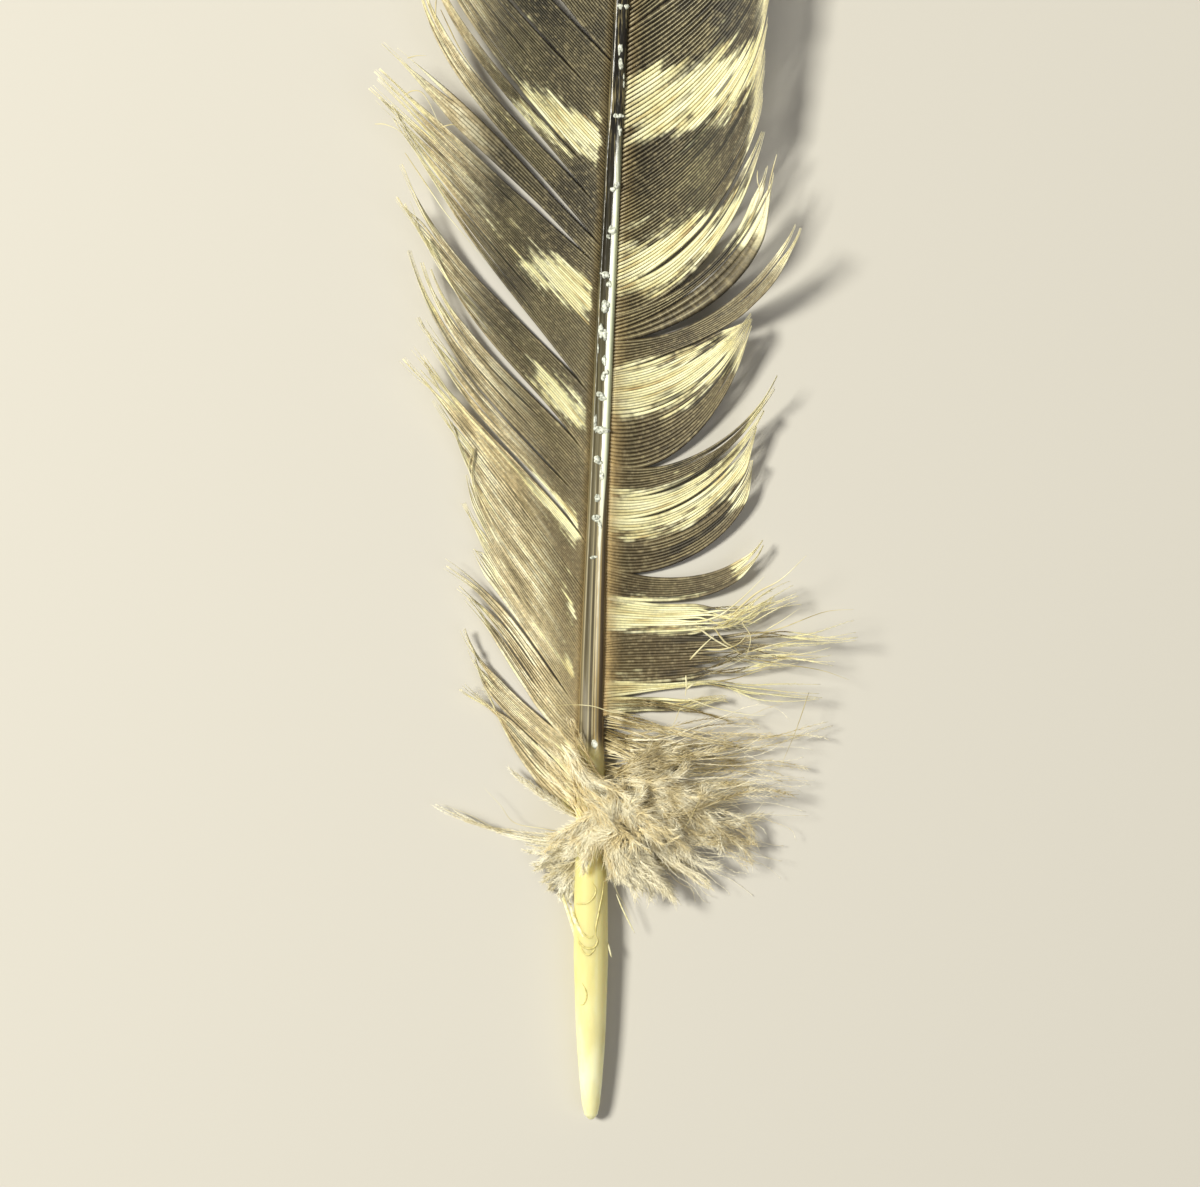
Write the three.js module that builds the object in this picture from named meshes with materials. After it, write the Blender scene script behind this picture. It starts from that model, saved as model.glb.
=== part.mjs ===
// Turkey wing feather, shed, lying with its inner (ventral) face up.
// Millimetres. +Y runs along the shaft towards the feather's tip, +X to the right-hand vane, +Z up.
// The origin is on the flat back of the shaft, under the pit where the bare quill turns into the vaned part.
import * as THREE from "three";

// ---- driving dimensions ----
const QUILL_END = -61.7;
const SHAFT_END = 232;
const SHAFT_SWEEP = { at: 124, x: 5.25, power: 1.35 };
const LIFT = { from: 70, radius: 560 };
const SHAFT_WIDTHS = [
  [QUILL_END, 0.9], [-60.9, 2.2], [-59, 3], [-55.5, 3.7], [-50.3, 4.5], [-45.5, 5], [-35, 5.7], [-21, 5.5],
  [0, 4.3], [15, 4], [37, 3.4], [74, 3.1], [124, 2.6], [180, 1.6], [SHAFT_END, 0.5],
];
const SHAFT_HEIGHT_SHARE = 0.92;
const FLAT_SHARE = 0.46;
const GROOVE = { from: 4, full: 16, depth_share: 0.16 };

const JOIN_GAP = 0.3;
const SLIT_GAP = 0.35;
const WEB_THICKNESS = { root: 0.5, tip: 0.3 };
const WEB_FLOOR = 0.35;
const HANDLE = 0.36;
const CAMBER = {
  left: { rise: 4, width: 32 },
  right: { rise: 2, extra: 7, from: 30, over: 80, width: 25 },
};

// Each web of the vane lies between two slits. A row is one barb of it, first the one nearest the quill:
// where it leaves the shaft, its heading there, its tip (x, y) and its heading at the tip. Headings are in
// degrees from the shaft's own direction, turned outwards.
const LEFT_WEBS = [
  [[-11.6, 63, -20.5, 10.2, 44], [-7, 42, -20.2, 11.2, 44]],
  [[-6.4, 39, -20.2, 14.6, 22], [-1.1, 45, -19.7, 18.5, 21]],
  [[-0.6, 52, -20.3, 23.8, 36], [5.5, 38, -22.1, 29.6, 54]],
  [[6.1, 36, -20.5, 32.1, 38], [14.2, 27, -20.3, 48, 9], [25.8, 35, -28.7, 62.4, 39], [33.1, 35, -27.9, 63.8, 40]],
  [[33.9, 31, -26.9, 67.8, 22], [39.1, 41, -26.9, 70.6, 30]],
  [[39.7, 40, -29.5, 79.3, 16], [47, 35, -26.4, 79.8, 19]],
  [[47.7, 34, -26.4, 85.8, 11], [52.5, 37, -32.6, 90.4, 33], [57.2, 38, -30.7, 94.6, 24]],
  [[58, 37, -29.4, 99.7, 26], [69.1, 41, -35.7, 107.4, 46], [78.9, 47, -34.5, 110.6, 52]],
  [[79.5, 42, -35.3, 114.4, 45], [82.5, 44, -32.9, 114.4, 58]],
  [[83.3, 38, -29.5, 130, 5], [88, 38, -28.8, 131.5, 6]],
  [[88.7, 37, -29.2, 135, 12], [92.5, 42, -30.6, 137.6, 18]],
  [[93.3, 43, -31.2, 141, 20], [105, 41, -31.5, 147, 26]],
  [[105.7, 41, -31, 150, 22], [112.6, 43, -29.5, 156, 20]],
];
const RIGHT_WEBS = [
  [[5.5, 88, 20, 4.5, 100], [7.6, 84, 22, 8, 86]],
  [[8.4, 86, 31, 11.5, 84], [10.2, 92, 33, 14, 74]],
  [[10.9, 99, 43, 15.5, 88], [14.2, 90, 42, 18, 78], [17.2, 81, 41, 19.6, 80]],
  [[18, 91, 42, 24.5, 68], [24.3, 97, 34, 30, 48]],
  [[25, 103, 28.4, 32.7, 21], [29.2, 104, 28.3, 34.8, 31]],
  [[29.8, 112, 27, 47.1, -6], [33.4, 97, 26.2, 46.6, 20]],
  [[34, 105, 28.2, 52.3, 10], [37.5, 97, 27.4, 53, 23]],
  [[38.1, 98, 27.9, 54.3, 24], [41, 95, 28.4, 56, 26]],
  [[41.6, 97, 29.1, 57.6, 27], [45.9, 96, 30.6, 61, 26]],
  [[46.7, 108, 26, 68.3, 11], [55.8, 89, 25.9, 70.2, 29], [61.7, 76, 26.2, 70.8, 66]],
  [[62.4, 75, 33.1, 83.9, 5], [66.8, 88, 32.9, 84.6, 28]],
  [[67.4, 84, 29.2, 88.2, 4], [69.1, 72, 29.8, 95.6, 9], [71, 74, 27, 93.6, 4]],
  [[71.5, 79, 28.3, 99.2, 13], [75.5, 71, 26.9, 99.2, 20]],
  [[76.1, 68, 27.6, 103, 14], [94, 61, 28.7, 125, 3], [117.7, 54, 31, 146.6, 5]],
];
// Above those, the webs follow the feather's outline up to its rounded end.
const UPPER = {
  left: { splits: [113.3, 131, 150, 172, 195, 216, 230.5], reach: 32, rise: 42, root: [42, 18], tip: [20, 4] },
  right: { splits: [118.3, 146, 178, 207, 230.5], reach: 24.5, rise: 29, root: [54, 22], tip: [6, 2] },
};
const OUTLINE = { from: 100, length: 132 };
const WEB_STEPS = { across: 3, along: 8 };

// The down: outlines of its three masses, as a centre, a reach at even angles from +X, and a height band.
const DOWN = {
  down_left: {
    at: [-10, -18.5], low: 0.15, high: 4.6,
    reach: [6.2, 6, 5.4, 5, 6, 9.5, 13, 9, 5.5, 5.5, 7, 6.5],
  },
  down_right: {
    at: [17, -11.5], low: 0.15, high: 5.9,
    reach: [27, 25, 12, 11.5, 12.5, 13.2, 13.4, 14, 14.5, 15, 13.5, 18],
  },
  afterfeather: {
    at: [1, -11.5], low: 6.3, high: 9.9,
    reach: [9, 11, 12, 13, 10, 8.5, 8, 9, 11, 12, 11, 9],
  },
};

// ---- small helpers ----
const smooth = (v) => {
  const t = Math.min(Math.max(v, 0), 1);
  return t * t * (3 - 2 * t);
};
const between = (table, y) => {
  const last = table.length - 1;
  const i = Math.min(Math.max(table.findIndex((row) => row[0] > y) - 1, 0), last - 1);
  const k = y >= table[last][0] ? last - 1 : i;
  const [a, b] = [table[k], table[k + 1]];
  return THREE.MathUtils.mapLinear(THREE.MathUtils.clamp(y, a[0], b[0]), a[0], b[0], a[1], b[1]);
};
const heading = (degrees, side) => {
  const a = THREE.MathUtils.degToRad(degrees);
  return new THREE.Vector2(side * Math.sin(a), Math.cos(a));
};

// ---- the shaft's lines ----
const shaftX = (y) => SHAFT_SWEEP.x * (Math.max(y, 0) / SHAFT_SWEEP.at) ** SHAFT_SWEEP.power;
const backZ = (y) => Math.max(y - LIFT.from, 0) ** 2 / (2 * LIFT.radius);
const shaftWidth = (y) => between(SHAFT_WIDTHS, y);

// A closed mesh from a stack of rings with the same number of points each, with flat caps.
function loftRings(rings) {
  const count = rings[0].length;
  const points = rings.flat();
  const faces = [];
  for (let r = 0; r < rings.length - 1; r++) {
    for (let i = 0; i < count; i++) {
      const a = r * count + i;
      const b = r * count + ((i + 1) % count);
      faces.push(a, b + count, b, a, a + count, b + count);
    }
  }
  const middle = (ring) => ring.reduce((sum, p) => sum.add(p), new THREE.Vector3()).divideScalar(count);
  const last = (rings.length - 1) * count;
  points.push(middle(rings[0]), middle(rings[rings.length - 1]));
  for (let i = 0; i < count; i++) {
    const next = (i + 1) % count;
    faces.push(points.length - 2, i, next);
    faces.push(points.length - 1, last + next, last + i);
  }
  return closedGeometry(points, faces);
}

function closedGeometry(points, faces) {
  const geometry = new THREE.BufferGeometry().setFromPoints(points);
  geometry.setIndex(faces);
  geometry.computeVertexNormals();
  return geometry;
}

// The shaft: a round bare quill that becomes a grooved, tapering rachis. Its back is a flat strip, so it rests.
function shaftGeometry() {
  const stations = [];
  SHAFT_WIDTHS.forEach(([y], k) => {
    stations.push(y);
    const next = SHAFT_WIDTHS[k + 1];
    const parts = next ? Math.max(1, Math.round((next[0] - y) / 12)) : 0;
    for (let i = 1; i < parts; i++) stations.push(THREE.MathUtils.lerp(y, next[0], i / parts));
  });
  const full = Math.max(...SHAFT_WIDTHS.map((row) => row[1]));
  const rings = stations.map((y) => {
    const width = shaftWidth(y);
    const height = width * SHAFT_HEIGHT_SHARE;
    const quillRise = y < -35 ? (full - width) * 0.3 : 0;
    const groove = GROOVE.depth_share * width * smooth((y - GROOVE.from) / (GROOVE.full - GROOVE.from));
    const at = (x, z) => new THREE.Vector3(shaftX(y) + x, y, backZ(y) + quillRise + z);
    const ring = [at(-FLAT_SHARE * width * 0.5, 0)];
    for (let side = 1; side >= -1; side -= 2) {
      if (side > 0) ring.push(at(FLAT_SHARE * width * 0.5, 0));
      const turns = [-45, -15, 15, 45, 75];
      const angles = side > 0 ? turns : turns.slice().reverse();
      for (const degrees of angles) {
        const a = THREE.MathUtils.degToRad(degrees);
        ring.push(at(side * Math.cos(a) * width * 0.5, height * 0.5 * (1 + Math.sin(a))));
      }
      if (side > 0) ring.push(at(0, height - groove));
    }
    return ring;
  });
  return loftRings(rings);
}

// One barb: a cubic curve in plan from its root to its tip, lifted by the camber of its vane.
function barbPoint([root, rootHeading, tipX, tipY, tipHeading], side, t) {
  const start = new THREE.Vector2(shaftX(root) + side * (shaftWidth(root) * 0.5 + JOIN_GAP), root);
  const end = new THREE.Vector2(tipX, tipY);
  const handle = start.distanceTo(end) * HANDLE;
  const curve = new THREE.CubicBezierCurve(
    start,
    start.clone().addScaledVector(heading(rootHeading, side), handle),
    end.clone().addScaledVector(heading(tipHeading, side), -handle),
    end,
  );
  const p = curve.getPoint(t);
  const out = Math.abs(p.x - shaftX(p.y));
  const camber = side < 0 ? CAMBER.left : CAMBER.right;
  const extra = side < 0 ? 0 : camber.extra * smooth((p.y - camber.from) / camber.over);
  const lift = (camber.rise + extra) * (out / camber.width) ** 2;
  return new THREE.Vector3(p.x, p.y, backZ(p.y) + WEB_FLOOR + lift);
}

// A web: a thin closed plate swept by its barbs.
function webGeometry(rows, side) {
  const { across, along } = WEB_STEPS;
  const stripes = Math.max(across, (rows.length - 1) * 2);
  const top = [];
  const bottom = [];
  for (let i = 0; i <= stripes; i++) {
    const place = (i / stripes) * (rows.length - 1);
    const k = Math.min(Math.floor(place), rows.length - 2);
    const row = rows[k].map((value, n) => THREE.MathUtils.lerp(value, rows[k + 1][n], place - k));
    for (let j = 0; j <= along; j++) {
      const p = barbPoint(row, side, j / along);
      const half = THREE.MathUtils.lerp(WEB_THICKNESS.root, WEB_THICKNESS.tip, j / along) * 0.5;
      top.push(p.clone().setZ(p.z + half));
      bottom.push(p.clone().setZ(p.z - half));
    }
  }
  const width = along + 1;
  const lower = top.length;
  const faces = [];
  const quad = (a, b, c, d) => (side < 0 ? faces.push(a, b, c, a, c, d) : faces.push(a, c, b, a, d, c));
  for (let i = 0; i < stripes; i++) {
    for (let j = 0; j < along; j++) {
      const a = i * width + j;
      quad(a + width, a + width + 1, a + 1, a);
      quad(lower + a, lower + a + 1, lower + a + width + 1, lower + a + width);
    }
  }
  for (let j = 0; j < along; j++) {
    const last = stripes * width + j;
    quad(j, j + 1, lower + j + 1, lower + j);
    quad(lower + last, lower + last + 1, last + 1, last);
  }
  for (let i = 0; i < stripes; i++) {
    const a = i * width;
    const tip = a + along;
    quad(lower + a, lower + a + width, a + width, a);
    quad(tip, tip + width, lower + tip + width, lower + tip);
  }
  return closedGeometry([...top, ...bottom], faces);
}

// The upper webs' barbs: reach and rise shrink towards the feather's round end.
function upperRow(root, law, side, offset) {
  const u = (root - OUTLINE.from) / OUTLINE.length;
  const share = (root - law.splits[0]) / (law.splits[law.splits.length - 1] - law.splits[0]);
  const tipY = root + law.rise * Math.sqrt(1 - u * u) + offset;
  const tipX = shaftX(tipY) + side * law.reach * (1 - u ** 3);
  return [
    root,
    THREE.MathUtils.lerp(law.root[0], law.root[1], share),
    tipX,
    tipY,
    THREE.MathUtils.lerp(law.tip[0], law.tip[1], share),
  ];
}

function upperWebs(law, side) {
  const webs = [];
  for (let i = 0; i < law.splits.length - 1; i++) {
    const low = law.splits[i] + SLIT_GAP;
    const high = law.splits[i + 1] - SLIT_GAP;
    webs.push([
      upperRow(low, law, side, SLIT_GAP),
      upperRow((low + high) * 0.5, law, side, 0),
      upperRow(high, law, side, -SLIT_GAP),
    ]);
  }
  return webs;
}

// A mass of down: a lens over its outline, flat underneath.
function downGeometry({ at, low, high, reach }) {
  const rings = 3;
  const turns = reach.length * 2;
  const points = [new THREE.Vector3(at[0], at[1], low), new THREE.Vector3(at[0], at[1], high)];
  const faces = [];
  const outline = Array.from({ length: turns }, (_, i) => {
    const k = i / 2;
    const a = reach[Math.floor(k) % reach.length];
    const b = reach[Math.ceil(k) % reach.length];
    const angle = (i / turns) * Math.PI * 2;
    const radius = (a + b) * 0.5;
    return [Math.cos(angle) * radius, Math.sin(angle) * radius];
  });
  for (let layer = 0; layer < 2; layer++) {
    for (let r = 1; r < rings; r++) {
      const share = r / rings;
      const z = layer === 0 ? low : low + (high - low) * Math.sqrt(1 - share * share);
      outline.forEach(([x, y]) => points.push(new THREE.Vector3(at[0] + x * share, at[1] + y * share, z)));
    }
  }
  const rim = points.length;
  outline.forEach(([x, y]) => points.push(new THREE.Vector3(at[0] + x, at[1] + y, low + 0.3)));
  for (let layer = 0; layer < 2; layer++) {
    const first = 2 + layer * (rings - 1) * turns;
    const ringStart = (r) => (r === rings ? rim : first + (r - 1) * turns);
    const add = (a, b, c) => (layer === 0 ? faces.push(a, c, b) : faces.push(a, b, c));
    for (let i = 0; i < turns; i++) {
      const next = (i + 1) % turns;
      add(layer, ringStart(1) + i, ringStart(1) + next);
      for (let r = 1; r < rings; r++) {
        const [inner, outer] = [ringStart(r), ringStart(r + 1)];
        add(inner + i, outer + i, outer + next);
        add(inner + i, outer + next, inner + next);
      }
    }
  }
  return closedGeometry(points, faces);
}

// ---- finishes ----
const HORN = { color: 0xb9ad7c, roughness: 0.3, metalness: 0 };
const VANE = { color: 0x7b6f4f, roughness: 0.75, metalness: 0 };
const FLUFF = { color: 0xc3b797, roughness: 0.95, metalness: 0 };

function named(name, geometry, finish) {
  const mesh = new THREE.Mesh(geometry, new THREE.MeshStandardMaterial(finish));
  mesh.name = name;
  return mesh;
}

function vane(side, label, webs) {
  const group = new THREE.Group();
  webs.forEach((rows, i) => {
    const name = `${label}_vane_${String(i + 1).padStart(2, "0")}`;
    group.add(named(name, webGeometry(rows, side), VANE));
  });
  return group;
}

// ---- the feather ----
const feather = new THREE.Group();
feather.add(named("shaft", shaftGeometry(), HORN));
feather.add(vane(-1, "left", [...LEFT_WEBS, ...upperWebs(UPPER.left, -1)]));
feather.add(vane(1, "right", [...RIGHT_WEBS, ...upperWebs(UPPER.right, 1)]));
for (const [name, shape] of Object.entries(DOWN)) feather.add(named(name, downGeometry(shape), FLUFF));

export default feather;
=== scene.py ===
# %% [markdown]
# # A shed turkey wing feather
# A wing feather is one horn growth: a round bare quill, a grooved shaft above it, and on each side a vane.
# The vane looks like a sheet, but it is hundreds of barbs, each with its own ridge and two fringes of hooked
# barbules that zip it to its neighbours. Where the zip has opened there are slits, and the barbs on each side
# close up into a pointed web. So nothing here is a painted sheet: every barb is its own little closed solid,
# and the vane appears because they lie side by side, about half a millimetre apart.

import bpy
import numpy as np
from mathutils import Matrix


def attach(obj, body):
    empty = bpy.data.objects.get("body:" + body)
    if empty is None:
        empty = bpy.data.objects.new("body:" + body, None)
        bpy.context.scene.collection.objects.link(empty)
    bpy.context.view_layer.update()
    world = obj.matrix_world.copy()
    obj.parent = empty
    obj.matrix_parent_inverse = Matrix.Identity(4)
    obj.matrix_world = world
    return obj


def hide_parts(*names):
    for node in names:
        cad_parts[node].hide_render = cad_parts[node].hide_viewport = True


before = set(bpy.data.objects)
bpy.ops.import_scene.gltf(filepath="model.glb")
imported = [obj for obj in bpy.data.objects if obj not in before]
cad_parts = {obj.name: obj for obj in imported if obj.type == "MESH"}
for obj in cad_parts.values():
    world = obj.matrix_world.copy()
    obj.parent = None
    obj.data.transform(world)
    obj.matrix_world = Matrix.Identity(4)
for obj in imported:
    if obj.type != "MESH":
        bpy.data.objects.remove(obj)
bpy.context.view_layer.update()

MM = 0.001
print(len(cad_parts), "solids to dress")

# %% [markdown]
# ## The camera
# The feather lies on a table and is looked at from straight above. A 50 mm lens on a 36 mm sensor takes in
# 200 mm of table from 278 mm up, which cuts off the feather's upper end.

# %% Camera
PIXELS_PER_MM = 6.0
IMAGE_SIZE = (1200, 1187)
ORIGIN_PIXEL = (591.0, 745.0)
LENS = 50.0
SENSOR = 36.0
VIEW_CENTRE = (
    (IMAGE_SIZE[0] / 2 - ORIGIN_PIXEL[0]) / PIXELS_PER_MM,
    (ORIGIN_PIXEL[1] - IMAGE_SIZE[1] / 2) / PIXELS_PER_MM,
)
EYE_HEIGHT = IMAGE_SIZE[0] / PIXELS_PER_MM * LENS / SENSOR

camera = bpy.data.objects.new("camera", bpy.data.cameras.new("camera"))
camera.data.lens = LENS
camera.data.sensor_width = SENSOR
camera.data.clip_start = 0.01
camera.location = (VIEW_CENTRE[0] * MM, VIEW_CENTRE[1] * MM, EYE_HEIGHT * MM)
bpy.context.scene.collection.objects.link(camera)
bpy.context.scene.camera = camera
print("camera at", tuple(round(v, 4) for v in camera.location))


# %% [markdown]
# ## Colour and node helpers
# Colours are written as the sRGB values an eye would pick, and turned in one place to the linear values that
# a shader needs. One helper adds any node, sets it, and fills its inputs with values, colours or links.

# %% Helpers for materials
from functools import partial


def linear(hex_colour):
    """sRGB hex to linear RGBA: values under 0.04045 are divided by 12.92, the rest follow the 2.4 power."""
    srgb = np.array([int(hex_colour[i : i + 2], 16) for i in (1, 3, 5)]) / 255
    rgb = np.where(srgb <= 0.04045, srgb / 12.92, ((srgb + 0.055) / 1.055) ** 2.4)
    return (*rgb.tolist(), 1.0)


def add_node(tree, kind, inputs=None, out=0, stops=None, **settings):
    """Adds a shader node and returns one of its outputs. Inputs are links, values or hex colours."""
    node = tree.nodes.new("ShaderNode" + kind)
    for name, value in settings.items():
        setattr(node, name, value)
    for key, value in (inputs or {}).items():
        if isinstance(value, bpy.types.NodeSocket):
            tree.links.new(value, node.inputs[key])
        else:
            node.inputs[key].default_value = linear(value) if isinstance(value, str) else value
    if stops:
        elements = node.color_ramp.elements
        while len(elements) < len(stops):
            elements.new(0.5)
        for element, (place, colour) in zip(elements, stops):
            element.position = place
            element.color = linear(colour)
    return node.outputs[out] if node.outputs else node


def new_material(name):
    """An empty node material, and the helper bound to its node tree."""
    material = bpy.data.materials.new(name)
    material.use_nodes = True
    material.node_tree.nodes.clear()
    return material, partial(add_node, material.node_tree)


STEP = {"interpolation_type": "SMOOTHSTEP"}
COLOUR = {"data_type": "RGBA", "out": 2}

# %% [markdown]
# ## Building meshes from arrays
# Barbs, hairs and down fibres are all the same kind of shape: a small closed section carried along a path.
# They are worked out as whole arrays, many at a time, and handed to Blender in one go. Each one gets its own
# small rectangle of the surface map, so a baked picture has room for every fibre.

# %% Smoothstep and unit vectors
def smooth(value):
    """Smoothstep: 3v^2 - 2v^3 on values clipped to 0..1."""
    v = np.clip(value, 0, 1)
    return v * v * (3 - 2 * v)


def unit(vectors):
    """Vectors scaled to length 1."""
    return vectors / np.maximum(np.linalg.norm(vectors, axis=-1, keepdims=True), 1e-12)


# %% Faces of many closed tubes
def map_corners(u, v):
    """Corners (u0, v0), (u0, v1), (u1, v1), (u1, v0) of each cell of a map, between its lines u and v."""
    u0, u1, v0, v1 = u[..., :-1, :], u[..., 1:, :], v[..., :-1], v[..., 1:]
    corners = [np.stack(np.broadcast_arrays(*pair), -1) for pair in ((u0, v0), (u0, v1), (u1, v1), (u1, v0))]
    return np.stack(corners, -2)


def tube_blocks(count, steps, sides, along=None, start=0, columns=1, v_low=0.0, v_high=1.0):
    """Faces and map corners of closed tubes.

    Ring j joins ring j+1 by quads, and one polygon closes each end. Tube i has the rectangle at column
    i mod columns and lane i div columns of the map, with u along the tube and v round its section.
    """
    along = np.linspace(0, 1, steps) if along is None else along
    index = np.arange(count)
    lanes = -(-count // columns)
    height = (v_high - v_low) / lanes
    left = (index % columns) / columns
    low = v_low + height * (index // columns)
    ring = np.arange(sides)
    base = start + (index[:, None, None] * steps + np.arange(steps - 1)[None, :, None]) * sides
    a, b = base + ring, base + (ring + 1) % sides
    faces = np.stack([a, b, b + sides, a + sides], -1).reshape(-1, 4)
    u = left[:, None] + (0.05 + 0.9 * along) / columns
    v = low[:, None] + height * (0.1 + 0.8 * np.arange(sides + 1) / sides)
    blocks = [(faces, map_corners(u[:, :, None], v[:, None]).reshape(-1, 4, 2))]
    angle = ring / sides * 2 * np.pi
    disc = np.stack([0.015 / columns * np.cos(angle), 0.3 * height * np.sin(angle)], -1)
    for place, end, order in ((0.02, 0, ring[::-1]), (0.98, steps - 1, ring)):
        middle = np.stack([left + place / columns, low + height / 2], -1)
        blocks.append((start + (index * steps + end)[:, None] * sides + order, middle[:, None] + disc[order]))
    return blocks


# %% One mesh from arrays
def face_volume(points, faces):
    """Six times the signed volume under fans of faces."""
    corner = points[faces]
    fan = np.cross(corner[:, 1:-1] - corner[:, :1], corner[:, 2:] - corner[:, :1])
    return np.einsum("ik,ijk->", corner[:, 0], fan)


def make_mesh(name, points, blocks, attributes, material):
    """A smooth mesh in metres from blocks of faces with map corners, turned to face outwards."""
    if sum(face_volume(points, faces) for faces, _ in blocks) < 0:
        blocks = [(faces[:, ::-1], uv[:, ::-1]) for faces, uv in blocks]
    sizes = np.concatenate([np.full(len(faces), faces.shape[1]) for faces, _ in blocks])
    loops = np.concatenate([faces.ravel() for faces, _ in blocks])
    mesh = bpy.data.meshes.new(name)
    mesh.vertices.add(len(points))
    mesh.vertices.foreach_set("co", (points * MM).astype(np.float32).ravel())
    mesh.loops.add(len(loops))
    mesh.loops.foreach_set("vertex_index", loops.astype(np.int32))
    mesh.polygons.add(len(sizes))
    mesh.polygons.foreach_set("loop_start", (np.cumsum(sizes) - sizes).astype(np.int32))
    mesh.polygons.foreach_set("use_smooth", np.ones(len(sizes), bool))
    layer = mesh.uv_layers.new(name="OFBake")
    corners = np.concatenate([uv.reshape(-1, 2) for _, uv in blocks])
    layer.data.foreach_set("uv", corners.astype(np.float32).ravel())
    for key, values in attributes.items():
        item = mesh.attributes.new(key, "FLOAT", "POINT")
        item.data.foreach_set("value", np.ascontiguousarray(values, np.float32).ravel())
    mesh.update(calc_edges=True)
    mesh.validate()
    mesh.materials.append(material)
    piece = bpy.data.objects.new(name, mesh)
    bpy.context.scene.collection.objects.link(piece)
    return piece


def triangles(piece):
    """How many triangles a piece has: a face of n corners makes n - 2."""
    return sum(len(polygon.vertices) - 2 for polygon in piece.data.polygons)


# %% Many fibres in one mesh
LOWEST = 0.02


def round_rings(path, radius, sides, flatness=1.0):
    """Rings round many paths: centre + radius (cos a flat + flatness sin a up).

    The flat direction is level, and the up direction is square to it and to the path.
    """
    tangent = unit(np.gradient(path, axis=1))
    flat = unit(np.cross(tangent, [0.0, 0.02, 1.0]))
    up = np.cross(flat, tangent)
    angle = (np.arange(sides) / sides * 2 * np.pi + 0.4)[:, None]
    spokes = np.cos(angle) * flat[:, :, None] + flatness * np.sin(angle) * up[:, :, None]
    return path[:, :, None] + radius[..., None, None] * spokes


def fibre_piece(name, groups, material):
    """One mesh of several groups of tubes. A group has paths, radii, sides and attributes by (tube, step)."""
    points, blocks, gathered = [], [], {}
    start, v_low = 0, 0.0
    total = sum(group["path"].shape[0] * group["path"].shape[1] for group in groups)
    for group in groups:
        count, steps = group["path"].shape[:2]
        rings = round_rings(group["path"], group["radius"], group["sides"], group.get("flat", 1.0))
        rings[..., 2] = np.maximum(rings[..., 2], LOWEST)
        v_high = v_low + count * steps / total
        columns = max(1, int(np.sqrt(count / 4)))
        blocks += tube_blocks(count, steps, group["sides"], None, start, columns, v_low, v_high)
        for key, values in group["attributes"].items():
            spread = np.broadcast_to(np.broadcast_to(values, (count, steps))[..., None], rings.shape[:3])
            gathered.setdefault(key, []).append(spread.ravel())
        points.append(rings.reshape(-1, 3))
        start += rings.size // 3
        v_low = v_high
    attributes = {key: np.concatenate(values) for key, values in gathered.items()}
    return make_mesh(name, np.concatenate(points), blocks, attributes, material)


# %% [markdown]
# ## The shaft's lines
# The quill is nearly straight, and the shaft above it sweeps gently to the right and lifts off the table.
# Everything on the feather hangs on these three curves, the same ones that the solid model was made from.

# %% Lines of the shaft, in millimetres
QUILL_END = -61.7
SHAFT_END = 232.0
SHAFT_WIDTHS = np.array(
    [
        [QUILL_END, 0.9], [-60.9, 2.2], [-59, 3], [-55.5, 3.7], [-50.3, 4.5], [-45.5, 5], [-35, 5.7],
        [-21, 5.5], [0, 4.3], [15, 4], [37, 3.4], [74, 3.1], [124, 2.6], [180, 1.6], [SHAFT_END, 0.5],
    ]
)
SHAFT_HEIGHT_SHARE = 0.92
SWEEP = {"at": 124, "x": 5.25, "power": 1.35}
LIFT = {"from": 70, "radius": 560}


def shaft_x(y):
    """The sweep: 5.25 mm to the right at 124 mm up, growing as the 1.35 power of the height."""
    return SWEEP["x"] * (np.maximum(y, 0) / SWEEP["at"]) ** SWEEP["power"]


def back_z(y):
    """The lift: flat on the table to 70 mm, then a parabola of radius 560 mm."""
    return np.maximum(y - LIFT["from"], 0) ** 2 / (2 * LIFT["radius"])


def shaft_width(y):
    """Width of the shaft at y, straight between the listed stations."""
    return np.interp(y, SHAFT_WIDTHS[:, 0], SHAFT_WIDTHS[:, 1])


print("quill", SHAFT_WIDTHS[:, 1].max(), "mm thick")
print("shaft swept to the right by", round(float(shaft_x(SHAFT_END)), 1), "mm at its tip")

# %% [markdown]
# ## The webs
# A row is one barb at the edge of a web, the one nearest the quill first: where it leaves the shaft, its
# heading there, its tip (x, y), and its heading at the tip, in millimetres and in degrees from the shaft's
# own direction. The barbs between two rows blend from one to the other.

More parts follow.
